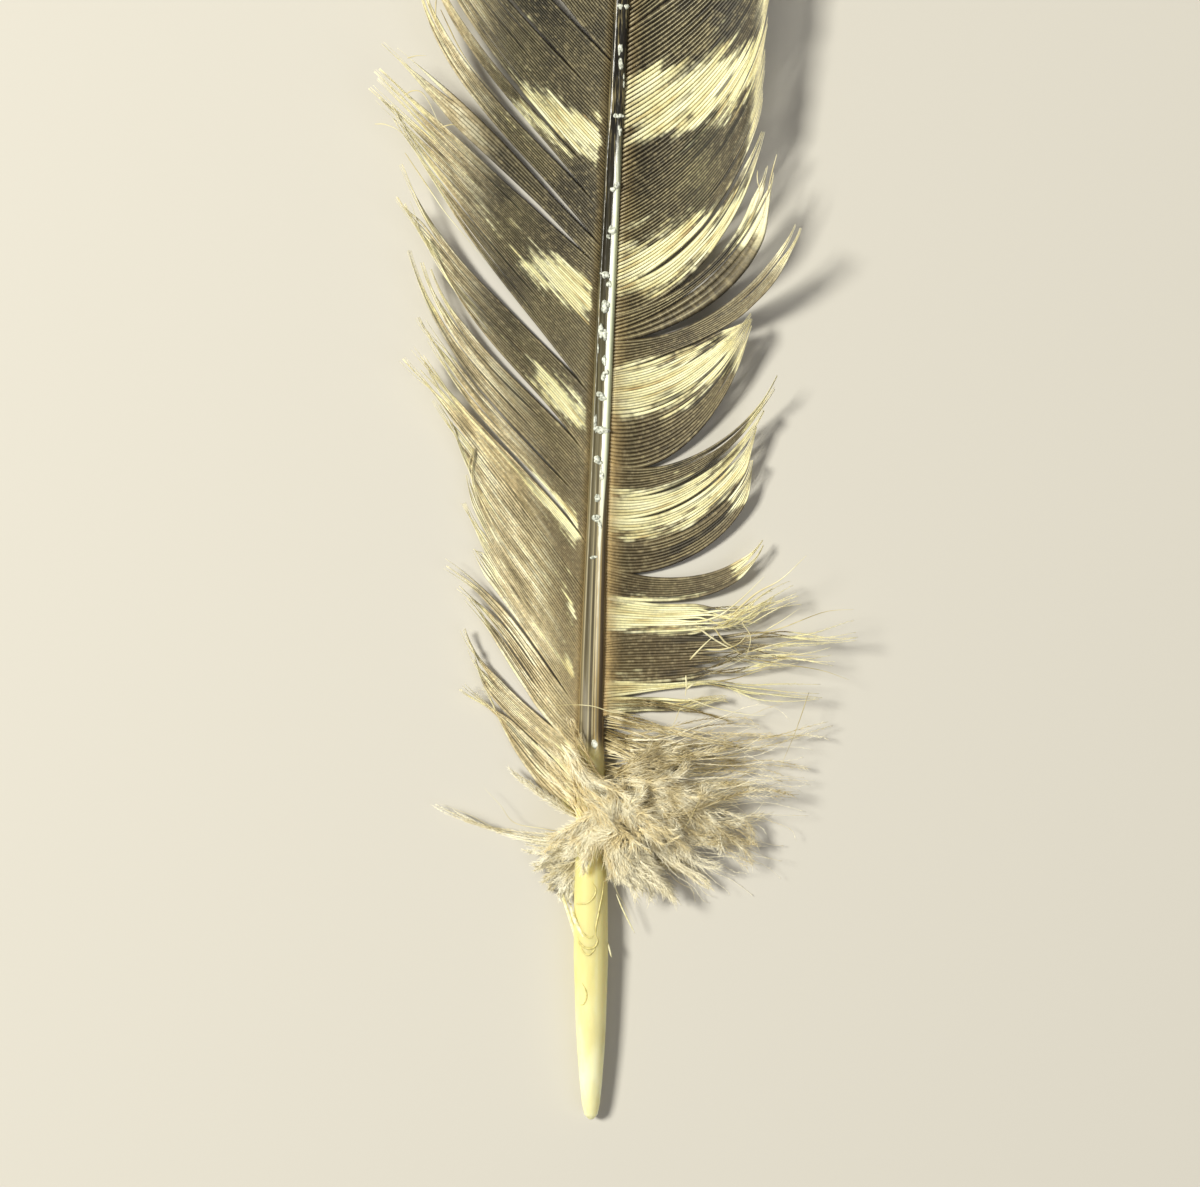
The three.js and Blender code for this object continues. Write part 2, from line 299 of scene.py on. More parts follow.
# %% Rows of the webs
LEFT_WEBS = [
    [[-11.6, 63, -20.5, 10.2, 44], [-7, 42, -20.2, 11.2, 44]],
    [[-6.4, 39, -20.2, 14.6, 22], [-1.1, 45, -19.7, 18.5, 21]],
    [[-0.6, 52, -20.3, 23.8, 36], [5.5, 38, -22.1, 29.6, 54]],
    [
        [6.1, 36, -20.5, 32.1, 38], [14.2, 27, -20.3, 48, 9],
        [25.8, 35, -28.7, 62.4, 39], [33.1, 35, -27.9, 63.8, 40],
    ],
    [[33.9, 31, -26.9, 67.8, 22], [39.1, 41, -26.9, 70.6, 30]],
    [[39.7, 40, -29.5, 79.3, 16], [47, 35, -26.4, 79.8, 19]],
    [[47.7, 34, -26.4, 85.8, 11], [52.5, 37, -32.6, 90.4, 33], [57.2, 38, -30.7, 94.6, 24]],
    [[58, 37, -29.4, 99.7, 26], [69.1, 41, -35.7, 107.4, 46], [78.9, 47, -34.5, 110.6, 52]],
    [[79.5, 42, -35.3, 114.4, 45], [82.5, 44, -32.9, 114.4, 58]],
    [[83.3, 38, -29.5, 130, 5], [88, 38, -28.8, 131.5, 6]],
    [[88.7, 37, -29.2, 135, 12], [92.5, 42, -30.6, 137.6, 18]],
    [[93.3, 43, -31.2, 141, 20], [105, 41, -31.5, 147, 26]],
    [[105.7, 41, -31, 150, 22], [112.6, 43, -29.5, 156, 20]],
]
RIGHT_WEBS = [
    [[5.5, 88, 20, 4.5, 100], [7.6, 84, 22, 8, 86]],
    [[8.4, 86, 31, 11.5, 84], [10.2, 92, 33, 14, 74]],
    [[10.9, 99, 43, 15.5, 88], [14.2, 90, 42, 18, 78], [17.2, 81, 41, 19.6, 80]],
    [[18, 91, 42, 24.5, 68], [24.3, 97, 34, 30, 48]],
    [[25, 103, 28.4, 32.7, 21], [29.2, 104, 28.3, 34.8, 31]],
    [[29.8, 112, 27, 47.1, -6], [33.4, 97, 26.2, 46.6, 20]],
    [[34, 105, 28.2, 52.3, 10], [37.5, 97, 27.4, 53, 23]],
    [[38.1, 98, 27.9, 54.3, 24], [41, 95, 28.4, 56, 26]],
    [[41.6, 97, 29.1, 57.6, 27], [45.9, 96, 30.6, 61, 26]],
    [[46.7, 108, 26, 68.3, 11], [55.8, 89, 25.9, 70.2, 29], [61.7, 76, 26.2, 70.8, 66]],
    [[62.4, 75, 33.1, 83.9, 5], [66.8, 88, 32.9, 84.6, 28]],
    [[67.4, 84, 29.2, 88.2, 4], [69.1, 72, 29.8, 95.6, 9], [71, 74, 27, 93.6, 4]],
    [[71.5, 79, 28.3, 99.2, 13], [75.5, 71, 26.9, 99.2, 20]],
    [[76.1, 68, 27.6, 103, 14], [94, 61, 28.7, 125, 3], [117.7, 54, 31, 146.6, 5]],
]
SLIT_GAP = 0.35
OUTLINE = {"from": 100, "length": 132}
UPPER = {
    -1: {
        "splits": [113.3, 131, 150, 172, 195, 216, 230.5],
        "reach": 32, "rise": 42, "root": (42, 18), "tip": (20, 4),
    },
    1: {"splits": [118.3, 146, 178, 207, 230.5], "reach": 24.5, "rise": 29, "root": (54, 22), "tip": (6, 2)},
}


def upper_row(root, side, offset):
    """A barb of the upper vane, where webs follow the feather's outline up to its rounded end.

    With u from 0 to 1 up the outline, the reach is less by its cube and the rise falls as a quarter circle.
    """
    law = UPPER[side]
    u = (root - OUTLINE["from"]) / OUTLINE["length"]
    share = (root - law["splits"][0]) / (law["splits"][-1] - law["splits"][0])
    tip_y = root + law["rise"] * np.sqrt(1 - u * u) + offset
    tip_x = shaft_x(tip_y) + side * law["reach"] * (1 - u**3)
    turn = [(1 - share) * law[key][0] + share * law[key][1] for key in ("root", "tip")]
    return [root, turn[0], tip_x, tip_y, turn[1]]


def all_webs(side):
    """The webs of one vane from the quill up, as arrays of rows."""
    webs = [np.array(rows, float) for rows in (LEFT_WEBS if side < 0 else RIGHT_WEBS)]
    splits = UPPER[side]["splits"]
    for low, high in zip(splits[:-1], splits[1:]):
        low, high = low + SLIT_GAP, high - SLIT_GAP
        places = ((low, SLIT_GAP), ((low + high) / 2, 0), (high, -SLIT_GAP))
        webs.append(np.array([upper_row(root, side, offset) for root, offset in places]))
    return webs


print({"left": len(all_webs(-1)), "right": len(all_webs(1))}, "webs")

# %% [markdown]
# ## One barb's path
# In plan each barb is a cubic curve with handles 0.36 of its span. Its height follows the vane's camber: low
# beside the shaft, rising with the square of the distance from it, more on the right vane than on the left.

# %% Paths of barbs
HANDLE = 0.36
ROOT_GAP = -0.15
WEB_FLOOR = 0.35
LEFT_CAMBER = {"rise": 4, "width": 32}
RIGHT_CAMBER = {"rise": 2, "more": 7, "from": 30, "over": 80, "width": 25}
ROOT_HEIGHT_SHARES = {-1: 0.45, 1: 0.72}
ROOT_SLOPE = 3.2


def camber_z(x, y, side):
    """Height of the vane over the table: it rises by the square of the way out, and its root sits higher.

    In words: the shaft's lift, the floor, rise (out / width)^2, and the root's height times e^(-out / slope).
    """
    out = np.abs(x - shaft_x(y))
    if side < 0:
        lift = LEFT_CAMBER["rise"] * (out / LEFT_CAMBER["width"]) ** 2
    else:
        camber = RIGHT_CAMBER
        rise = camber["rise"] + camber["more"] * smooth((y - camber["from"]) / camber["over"])
        lift = rise * (out / camber["width"]) ** 2
    near = np.maximum(ROOT_HEIGHT_SHARES[side] * SHAFT_HEIGHT_SHARE * shaft_width(y) - WEB_FLOOR, 0)
    return back_z(y) + WEB_FLOOR + lift + near * np.exp(-np.maximum(out - shaft_width(y) / 2, 0) / ROOT_SLOPE)


def cubic(points, t):
    """Cubic curves of four arrays of points, weighted (1 - t)^3, 3 (1 - t)^2 t, 3 (1 - t) t^2 and t^3."""
    t = t[..., None]
    weights = ((1 - t) ** 3, 3 * (1 - t) ** 2 * t, 3 * (1 - t) * t**2, t**3)
    return sum(weight * point[:, None] for weight, point in zip(weights, points))


def plan_curve(rows, side, t):
    """Cubic curves in plan, one for each row of the array, at the parameters t: shape (rows, steps, 2)."""
    root, turn0, tip_x, tip_y, turn1 = rows.T
    start = np.stack([shaft_x(root) + side * (shaft_width(root) / 2 + ROOT_GAP), root], -1)
    end = np.stack([tip_x, tip_y], -1)
    handle = HANDLE * np.linalg.norm(end - start, axis=-1, keepdims=True)
    a0, a1 = np.radians(turn0), np.radians(turn1)
    control0 = start + handle * np.stack([side * np.sin(a0), np.cos(a0)], -1)
    control1 = end - handle * np.stack([side * np.sin(a1), np.cos(a1)], -1)
    return cubic((start, control0, control1, end), t)


def blend_rows(rows, places):
    """Rows at fractional places 0..len(rows)-1."""
    return np.stack([np.interp(places, np.arange(len(rows)), column) for column in rows.T], -1)


edge_heights = [round(float(camber_z(shaft_x(100) + side * 25, 100, side)), 1) for side in (-1, 1)]
print("100 mm up, the left and right edges stand", edge_heights, "mm off the table")

# %% [markdown]
# ## Bars
# The markings are bars of cream across brown. A bar crosses the barbs at a slant of its own, between
# following the barb and lying square to the shaft, so its coordinate is a mix of where the barb starts and
# where the point is. `pale` is how strongly a point wants to be cream; the material turns it into streaks.

# %% Bars as a number on each point
BAR_CENTRES = {
    -1: np.array([-2, 10.2, 19.4, 32.5, 52.4, 72.3, 100, 127, 154, 181, 207, 236]),
    1: np.array([-9, 8.5, 21.3, 39, 58.7, 79.2, 105.4, 132, 159, 186, 211, 240]),
}
BAR_SHARES = {-1: 0.28, 1: 0.4}
BAR_SLANTS = {-1: ([34, 52, 72, 95], [0.04, 0.22, 0.36, 0.6]), 1: ([20, 60, 95], [0.2, 0.36, 0.82])}
LEFT_BAR_REACH = ([5, 25, 45, 60, 100], [1.0, 1.6, 7, 7, 9])
RIGHT_EDGE_START = ([40, 80], [0.66, 0.75])
FADE_START = ([0, 30, 50, 75], [0.6, 3, 6, 16])
FADE_WIDTH = ([0, 70], [4, 11])


def bar_paleness(root, y, side):
    """Above 0.5 inside a bar and below it outside, from the distance to the nearest bar in bar spacings."""
    slant = np.interp(root, *BAR_SLANTS[side])
    place = root + slant * (y - root)
    phase = np.interp(place, BAR_CENTRES[side], np.arange(len(BAR_CENTRES[side])))
    distance = np.abs(phase - np.round(phase))
    return np.clip(0.5 + (BAR_SHARES[side] / 2 - distance) * 4, -0.3, 1.3)


def paleness(root, x, y, t, side):
    """The greater of the bars and of the pale outer edge, from 0 for brown to 1 for cream.

    On the left vane the bars fade outwards, sooner low down than high up, and stop short of the shaft.
    """
    out = np.abs(x - shaft_x(y)) - shaft_width(y) / 2
    bars = bar_paleness(root, y, side)
    if side < 0:
        reach = np.interp(y, *LEFT_BAR_REACH)
        bars = bars * (1 - 0.75 * smooth((out - reach) / (reach + 1)))
        edge = 1.1 * smooth((t - 0.62) / 0.34) - 0.1
        shade = 1.2 * smooth((1.6 - out) / 1.4)
    else:
        start = np.interp(y, *RIGHT_EDGE_START)
        edge = 1.2 * smooth((t - start) / 0.16) - 0.1
        shade = 0
    return np.maximum(bars, edge) - shade


def outer_fade(out, y, side):
    """How far the brown has faded to tan: more and nearer to the shaft low on the left vane."""
    if side > 0:
        return 0.35 * smooth((out - 14) / 14)
    return smooth((out - np.interp(y, *FADE_START)) / np.interp(y, *FADE_WIDTH))


def root_gold(out, y, side):
    """Golden barb roots beside the shaft: a faint strip 1 mm wide on the left vane, and 3 mm on the right.

    The right strip is weaker high up, and has a stronger core 1 mm wide low down.
    """
    if side < 0:
        return 0.3 * smooth((1.2 - out) / 1.0)
    low = 1 - 0.6 * smooth((y - 45) / 35)
    return 0.7 * low * smooth((3.0 - out) / 2.8) + 0.35 * smooth((0.9 - out) / 0.7) * smooth((70 - y) / 40)


print([len(centres) for centres in BAR_CENTRES.values()], "bars on the left and right vane")

# %% [markdown]
# ## How a web frays
# Towards its end a web falls into small locks of a few barbs that close up to one point, as wet hair does.
# Each lock starts to close at its own place, leans a little to one side, and lifts a little. Some locks come
# unzipped from their neighbours much earlier, which leaves a long hairline split. That one effect makes the
# pointed tips, the gaps between them and the splits.

# %% Barbs of one web
BARB_SPACINGS = {  # place up the shaft, and how far apart the barbs leave it there
    -1: np.array([[0, 0.5], [60, 0.55], [120, 0.6]]),
    1: np.array([[0, 0.4], [55, 0.5], [90, 0.68]]),
}
STEPS = 36
ZIP = 0.36
SPLIT_SHARE = 0.2  # how far a barb is drawn to its lock's middle where the lock comes unzipped
MOST_DRAWN = 0.97  # how far it is drawn at most
HALF_SHARE = 0.54  # a barb's half width, as a share of the space that it has

# Shares of the barb's length: close is where a lock starts to close, early how much sooner it may come
# unzipped, zipped how far its wings reach, uneven the scatter in that, and length the scatter in its own
# length about reach. In millimetres: lean, lift, scatter, wander and twist. Size is barbs in a lock, often
# and pinch are shares of the locks and of the way to their middle, and relief scales the ridges.
FRAY = {
    "close": 0.74, "early": 0.3, "often": 0.3, "pinch": 0.8, "lean": 0.6, "lift": 0.35, "scatter": 0.2,
    "length": 0.03, "size": (3, 7), "zipped": 1.0, "uneven": 0.0, "wander": 0.0, "twist": 0.5, "relief": 1.0,
    "reach": 1.0,
}


def web_paths(rows, side, seed, **changes):
    """Paths and half widths of a web's barbs.

    A barb runs from its row's curve towards the middle line of its lock: by the share pinch at the tip, and
    by a small fixed share just after the place where the lock comes unzipped. Beside the shaft the web
    spreads by ZIP at both edges, so that it is still hooked to its neighbours there. Where wander is set,
    a lock past its zipped part also bends aside by a line and two sines of the place along it.
    """
    fray = {**FRAY, **changes}
    rng = np.random.default_rng(seed)
    step = np.interp(rows[:, 0].mean(), *BARB_SPACINGS[side].T)
    count = max(4, int(round((rows[-1, 0] - rows[0, 0]) / step)) + 1)
    share = (np.arange(count) + 0.5) / count
    each = blend_rows(rows, share * (len(rows) - 1))
    t = np.linspace(0, 1, STEPS) ** 0.92
    cuts = np.cumsum(rng.integers(*fray["size"], size=count, endpoint=True))
    lock = np.searchsorted(cuts, np.arange(count), side="right")
    locks = lock.max() + 1
    closing = fray["close"] + rng.normal(0, 0.05, locks)
    unzipped = closing - fray["early"] * (0.5 + rng.random(locks)) * (rng.random(locks) < fray["often"])
    lean = rng.normal(0, fray["lean"], locks)
    lift = np.abs(rng.normal(0, fray["lift"], locks))
    length = rng.normal(fray["reach"], fray["length"], locks)[lock]
    length = length + rng.normal(0, fray["length"] * 0.7, count)
    base = plan_curve(each, side, t[None] * length[:, None])
    base[..., 1] += 2 * ZIP * (share[:, None] - 0.5) * (1 - smooth(t[None] / 0.3))
    tangent = unit(np.gradient(base, axis=1))
    across = np.stack([tangent[..., 1], -tangent[..., 0]], -1)
    start = closing[lock][:, None]
    closed = smooth((t[None] - start) / (1.02 - start))
    split = smooth((t[None] - unzipped[lock][:, None]) / 0.12)
    member = (lock[:, None] == np.arange(locks)).astype(float)
    centre = np.einsum("nl,nsk->lsk", member, base) / member.sum(0)[:, None, None]
    draw = np.minimum(fray["pinch"] * closed + SPLIT_SHARE * split, MOST_DRAWN)
    path = base + (centre[lock] - base) * draw[..., None]
    drift = lean[lock][:, None] * closed**1.2
    drift = drift + rng.normal(0, fray["scatter"], (count, 1)) * smooth((t[None] - 0.78) / 0.22)
    if fray["wander"]:
        loose = smooth((t[None] - fray["zipped"] * 0.8) / 0.3)
        waves = rng.normal(0, 1, (3, locks, 1))[:, lock] + 0.6 * rng.normal(0, 1, (3, count, 1))
        turn = waves[0] * t + 0.5 * np.sin(6 * t + 3 * waves[1]) + 0.3 * np.sin(11 * t + 3 * waves[2])
        drift = drift + fray["wander"] * loose * turn
    path = path + across * drift[..., None]
    slide = np.abs(np.einsum("nsk,nsk->ns", np.diff(base, axis=0), across[:-1]))
    spacing = np.concatenate([slide, slide[-1:]])
    edge = 1 + 0.4 * (np.abs(np.arange(count) - (count - 1) / 2) > (count - 2) / 2)
    half = HALF_SHARE * spacing * (1 - draw * 0.8) * edge[:, None]
    z = camber_z(path[..., 0], path[..., 1], side) + lift[lock][:, None] * closed
    z = z + fray["twist"] * rng.normal(0, 1) * (share[:, None] - 0.5) * smooth(t[None] * 1.2)
    z = z + rng.normal(0, 0.04, (count, 1)) * smooth(t[None] * 3)
    return {
        "path": np.concatenate([path, z[..., None]], -1), "half": half, "t": t,
        "root": each[:, 0], "count": count,
        "tone": 0.6 * rng.random(count) + 0.4 * rng.random(locks)[lock],
        "zipped": fray["zipped"] + fray["uneven"] * rng.normal(0, 1, locks)[lock],
        "relief": fray["relief"],
    }


# %% [markdown]
# ## A barb's section
# Cut across, a barb is a thick ridge with a thin wing of barbules on each side, and one wing tucks under the
# next barb's. Six corners are enough for that. The wings narrow where the barb is no longer hooked to its
# neighbours, so towards its tip the same section becomes a hair. Each corner also carries what its colour
# needs: how pale it is, where it lies along and across the barb, and how far the brown has faded there.

# %% Barbs as closed solids
SECTION_ACROSS = np.array([-1.0, -0.34, 0.0, 0.34, 1.08, 0.0])
SECTION_HEIGHT = np.array([-0.04, 0.0, 0.1, 0.0, -0.1, -0.2])
SECTION_RIDGE = np.array([0.0, 0.25, 1.0, 0.25, 0.0, 0.3])
HAIR_WIDTH = 0.1
WEB_LOWEST = 0.04


def web_piece(name, web, side, material):
    """Barbs of a web as solids: path + flat half SECTION_ACROSS + up depth SECTION_HEIGHT at each step."""
    path, t, count = web["path"], web["t"], web["count"]
    tangent = unit(np.gradient(path, axis=1))
    flat = unit(np.cross(tangent, [0, 0, 1.0]))
    up = unit(np.cross(flat, tangent))
    bare = 1 - 0.86 * smooth((t - web["zipped"][:, None] * 0.86) / 0.14)
    hair = 1 - 0.7 * smooth((t - 0.8) / 0.2)
    half = np.maximum(web["half"] * bare, HAIR_WIDTH * hair)
    across = half[..., None] * SECTION_ACROSS * (-side)
    out = np.abs(path[..., 0] - shaft_x(path[..., 1])) - shaft_width(path[..., 1]) / 2
    depth = web["relief"] * np.minimum(half / 0.3, 1) * (1 - 0.85 * smooth((t - 0.28) / 0.34))
    depth = depth * (0.4 + 0.6 * smooth(out / 3.5))
    depth = np.where(half < 0.12, 1, depth)
    height = depth[..., None] * SECTION_HEIGHT
    points = path[:, :, None] + flat[:, :, None] * across[..., None] + up[:, :, None] * height[..., None]
    points[..., 2] = np.maximum(points[..., 2], WEB_LOWEST)
    sides = len(SECTION_ACROSS)
    shape = (count, STEPS, sides)
    length = np.cumsum(np.linalg.norm(np.diff(path, axis=1, prepend=path[:, :1]), axis=-1), axis=1)
    pale = paleness(web["root"][:, None], path[..., 0], path[..., 1], t[None], side)
    by_point = {
        "pale": pale, "along": length, "reach": np.broadcast_to(t, (count, STEPS)),
        "fade": outer_fade(out, path[..., 1], side), "gold": root_gold(out, path[..., 1], side),
    }
    by_barb = {"barb": web["root"], "tone": web["tone"]}
    attributes = {key: np.broadcast_to(values[..., None], shape) for key, values in by_point.items()}
    attributes |= {key: np.broadcast_to(values[:, None, None], shape) for key, values in by_barb.items()}
    attributes["across"] = across
    attributes["ridge"] = np.broadcast_to(SECTION_RIDGE, shape)
    return make_mesh(name, points.reshape(-1, 3), tube_blocks(count, STEPS, sides, t), attributes, material)


print("a section of", len(SECTION_ACROSS), "corners at", STEPS, "places along each barb")

# %% [markdown]
# ## Keratin of the vane
# Barbs are keratin: a dense, faintly translucent horn with a satin skin. Brown parts hold melanin, cream
# parts hold almost none. The ridge of a barb is solid; a painted highlight runs along it and painted shade
# along the seams beside it, and both fade where it sinks into the felt of barbules towards the outer half of
# the vane. Melanin is laid down while the barb grows, so every change of colour runs as streaks along the
# barb.

# %% Material of the barbs
STREAKS = 3.0
SPECKS = 0.25
KERATIN_IOR = 1.54
BARB_ATTRIBUTES = ("pale", "along", "barb", "ridge", "reach", "fade", "tone", "across", "gold")


def barb_material(name, browns, ridge_highlight, streak_length, parting_shade):
    """Barred keratin: brown to cream by `pale`, broken into streaks along the barbs.

    The ridges get a painted highlight, as strong as the ridge highlight given, and the seams beside them
    painted shade; dark strokes of painted shade between unzipped barbs are as strong as the parting shade
    given.
    """
    material, node = new_material(name)
    own = (node("Attribute", attribute_name=key, out="Fac") for key in BARB_ATTRIBUTES)
    pale, along, barb, ridge, reach, fade, tone, across, gold = own
    strand = node("CombineXYZ", {0: along, 1: barb})
    place = node("TexCoord", out="Object")
    height = node("SeparateXYZ", {0: place}, out="Y")
    level = node("MapRange", {0: height, 1: -10 * MM, 2: 130 * MM})

    # Streaks are some three barbs wide and 12 mm long, specks one barb wide and a millimetre long.
    streak_at = node("Mapping", {0: strand, 3: (1 / streak_length, 0.62, 1.0)})
    streak = node("TexNoise", {"Vector": streak_at, "Scale": 1.0, "Detail": 4.0, "Roughness": 0.66})
    speck_at = node("Mapping", {0: strand, 1: (5.0, 9.0, 0.0), 3: (0.8, 2.2, 1.0)})
    speck = node("TexNoise", {"Vector": speck_at, "Scale": 1.0, "Detail": 3.0, "Roughness": 0.6})
    patch = node("TexNoise", {"Vector": place, "Scale": 95.0, "Detail": 2.0})
    grain = node("TexNoise", {"Vector": place, "Scale": 1900.0, "Detail": 2.0, "Roughness": 0.7})
    streaked = node("Math", {0: streak, 1: STREAKS, 2: pale}, operation="MULTIPLY_ADD")
    flecked = node("Math", {0: speck, 1: SPECKS, 2: streaked}, operation="MULTIPLY_ADD")
    middle = 0.5 * (STREAKS + SPECKS)
    share = node("MapRange", {0: flecked, 1: middle + 0.34, 2: middle + 0.8}, **STEP)

    # Brown of the felt, darker high up the feather, with lighter specks, and clouds of painted shading.
    brown = node("ValToRGB", {0: level}, stops=browns)
    felt_share = node("MapRange", {0: speck, 1: 0.47, 2: 0.68, 3: 0.0, 4: 0.38}, **STEP)
    felted = node("Mix", {0: felt_share, 6: brown, 7: "#B0A27B"}, **COLOUR)
    shading_cloud_share = node("MapRange", {0: patch, 1: 0.4, 2: 0.62, 3: 0.0, 4: 0.22}, **STEP)
    clouded = node("Mix", {0: shading_cloud_share, 6: felted, 7: "#857750"}, **COLOUR)

    # Faded tan comes in as streaks, and light streaks run through it.
    ragged = node("MapRange", {0: streak, 1: 0.3, 2: 0.52, 3: 0.15, 4: 1.0}, **STEP)
    faded_share = node("Math", {0: fade, 1: ragged}, operation="MULTIPLY")
    light_streak = node("MapRange", {0: streak, 1: 0.47, 2: 0.6}, **STEP)
    tan = node("Mix", {0: light_streak, 6: "#D3C297", 7: "#F6EDC8"}, **COLOUR)
    faded = node("Mix", {0: faded_share, 6: clouded, 7: tan}, **COLOUR)

    # Within a bar two barbs at a time are brighter, for about 9 mm, with tan flecks between them.
    glint_at = node("Mapping", {0: strand, 1: (3.0, 4.0, 0.0), 3: (0.11, 1.1, 1.0)})
    glint = node("TexNoise", {"Vector": glint_at, "Scale": 1.0, "Detail": 3.0, "Roughness": 0.55})
    cream = node("ValToRGB", {0: glint}, stops=[
        (0.28, "#B0945F"), (0.38, "#DCCF95"), (0.5, "#F4EEBA"), (0.64, "#FDF9D0"),
    ])
    barred = node("Mix", {0: share, 6: faded, 7: cream}, **COLOUR)
    rooted = node("Mix", {0: gold, 6: barred, 7: "#B99D68"}, **COLOUR)

    # Ridges get a painted highlight, and the seams beside them painted shade: less low down, where the felt
    # has faded, at the golden roots and where the felt is thick, and hardly at all past two thirds of the
    # barb's length.
    lined = node("MapRange", {0: level, 1: 0.2, 2: 0.6, 3: 0.5, 4: 1.0})
    shown = node("Math", {0: fade, 1: -0.75, 2: 1.0}, operation="MULTIPLY_ADD")
    shown = node("Math", {0: shown, 1: lined}, operation="MULTIPLY")
    plain = node("MapRange", {0: level, 1: 0.35, 2: 0.75, 3: -0.9, 4: 0.0})
    rootless = node("Math", {0: gold, 1: plain, 2: 1.0}, operation="MULTIPLY_ADD")
    shown = node("Math", {0: shown, 1: rootless}, operation="MULTIPLY")
    painted_line_strength = node("MapRange", {0: reach, 1: 0.4, 2: 0.7, 3: ridge_highlight, 4: ridge_highlight * 0.12}, **STEP)
    painted_line_strength = node("Math", {0: painted_line_strength, 1: shown}, operation="MULTIPLY")
    lit = node("MapRange", {0: ridge, 1: 0.45, 2: 1.0, 3: 0.0, 4: painted_line_strength}, **STEP)
    bare = node("MapRange", {0: patch, 1: 0.36, 2: 0.6, 3: 0.35, 4: 1.0}, **STEP)
    lit = node("Math", {0: lit, 1: bare}, operation="MULTIPLY")
    ridge_highlighted = node("Mix", {0: lit, 6: rooted, 7: "#E2D8A4"}, **COLOUR)
    seam_shade = node("Math", {0: painted_line_strength, 1: 0.9}, operation="MULTIPLY")
    seam_shade_share = node("MapRange", {0: ridge, 1: 0.22, 2: 0.0, 3: 0.0, 4: seam_shade})
    seam_shaded = node("Mix", {0: seam_shade_share, 6: ridge_highlighted, 7: "#3A3220"}, **COLOUR)

    # Where neighbouring barbs have come unzipped, a long dark stroke of painted shade shows between them.
    parting_at = node("Mapping", {0: strand, 1: (7.0, 2.5, 0.0), 3: (0.055, 0.6, 1.0)})
    parting = node("TexNoise", {"Vector": parting_at, "Scale": 1.0, "Detail": 2.0, "Roughness": 0.5})
    parting_shade_share = node("MapRange", {0: parting, 1: 0.57, 2: 0.62, 3: 0.0, 4: parting_shade}, **STEP)
    outwards = node("MapRange", {0: reach, 1: 0.2, 2: 0.4}, **STEP)
    parting_shade_share = node("Math", {0: parting_shade_share, 1: outwards}, operation="MULTIPLY")
    seam_shaded = node("Mix", {0: parting_shade_share, 6: seam_shaded, 7: "#1C170D"}, **COLOUR)

    # Tips are worn pale, and a fine grain and each barb's own tone make it lighter or darker all over.
    worn = node("MapRange", {0: reach, 1: 0.74, 2: 0.92, 3: 0.0, 4: 0.82}, **STEP)
    tipped = node("Mix", {0: worn, 6: seam_shaded, 7: "#F9F2D0"}, **COLOUR)
    grainy = node("MapRange", {0: grain, 1: 0.32, 2: 0.68, 3: -0.22, 4: 0.24})
    coarse = node("MapRange", {0: share, 3: 1.0, 4: 0.4})
    toned = node("MapRange", {0: tone, 3: 0.84, 4: 1.1})
    shade = node("Math", {0: grainy, 1: coarse, 2: toned}, operation="MULTIPLY_ADD")
    grey = node("CombineXYZ", {0: shade, 1: shade, 2: shade})
    colour = node("Mix", {0: 1.0, 6: tipped, 7: grey}, blend_type="MULTIPLY", **COLOUR)

    # Barbules lie 0.03 mm apart; they are drawn ten times coarser, slanting out from the ridge on both sides.
    aside = node("Math", {0: across}, operation="ABSOLUTE")
    slant = node("Math", {0: aside, 1: 1.2, 2: along}, operation="MULTIPLY_ADD")
    barbule_at = node("CombineXYZ", {0: slant, 1: barb})
    barbule = node("TexWave", {"Vector": barbule_at, "Scale": 0.9, "Distortion": 2.0, "Detail": 2.0})
    normal = node("Bump", {"Strength": 0.3, "Distance": 0.08 * MM, "Height": barbule})
    roughness = node("MapRange", {0: ridge, 1: 0.2, 2: 1.0, 3: 0.6, 4: 0.42})
    shader = node("BsdfPrincipled", {
        "Base Color": colour, "Roughness": roughness, "Normal": normal, "IOR": KERATIN_IOR,
    })
    node("OutputMaterial", {"Surface": shader})
    return material


LEFT_BROWNS = [(0.0, "#B09F76"), (0.25, "#756645"), (0.5, "#544A32"), (0.75, "#363020"), (1.0, "#231F13")]
RIGHT_BROWNS = [(0.0, "#695939"), (0.25, "#4E422A"), (0.5, "#52472E"), (0.75, "#352D19"), (1.0, "#100C06")]
barb_materials = {
    -1: barb_material("barred_keratin_left", LEFT_BROWNS, 0.31, 12.0, 0.4),
    1: barb_material("barred_keratin_right", RIGHT_BROWNS, 0.52, 13.0, 0.8),
}
node_counts = [len(material.node_tree.nodes) for material in barb_materials.values()]
print(node_counts, "nodes in the materials of the left and right barbs")

# %% [markdown]
# ## Both vanes
# The left vane is made of many narrow locks that lie flat and end raggedly. The right vane is zipped almost
# to its edge and its webs end smoothly, but the lowest four have lost their hooks and end in loose, bent
# hairs. The settings say only where a web differs from the rest of its vane.

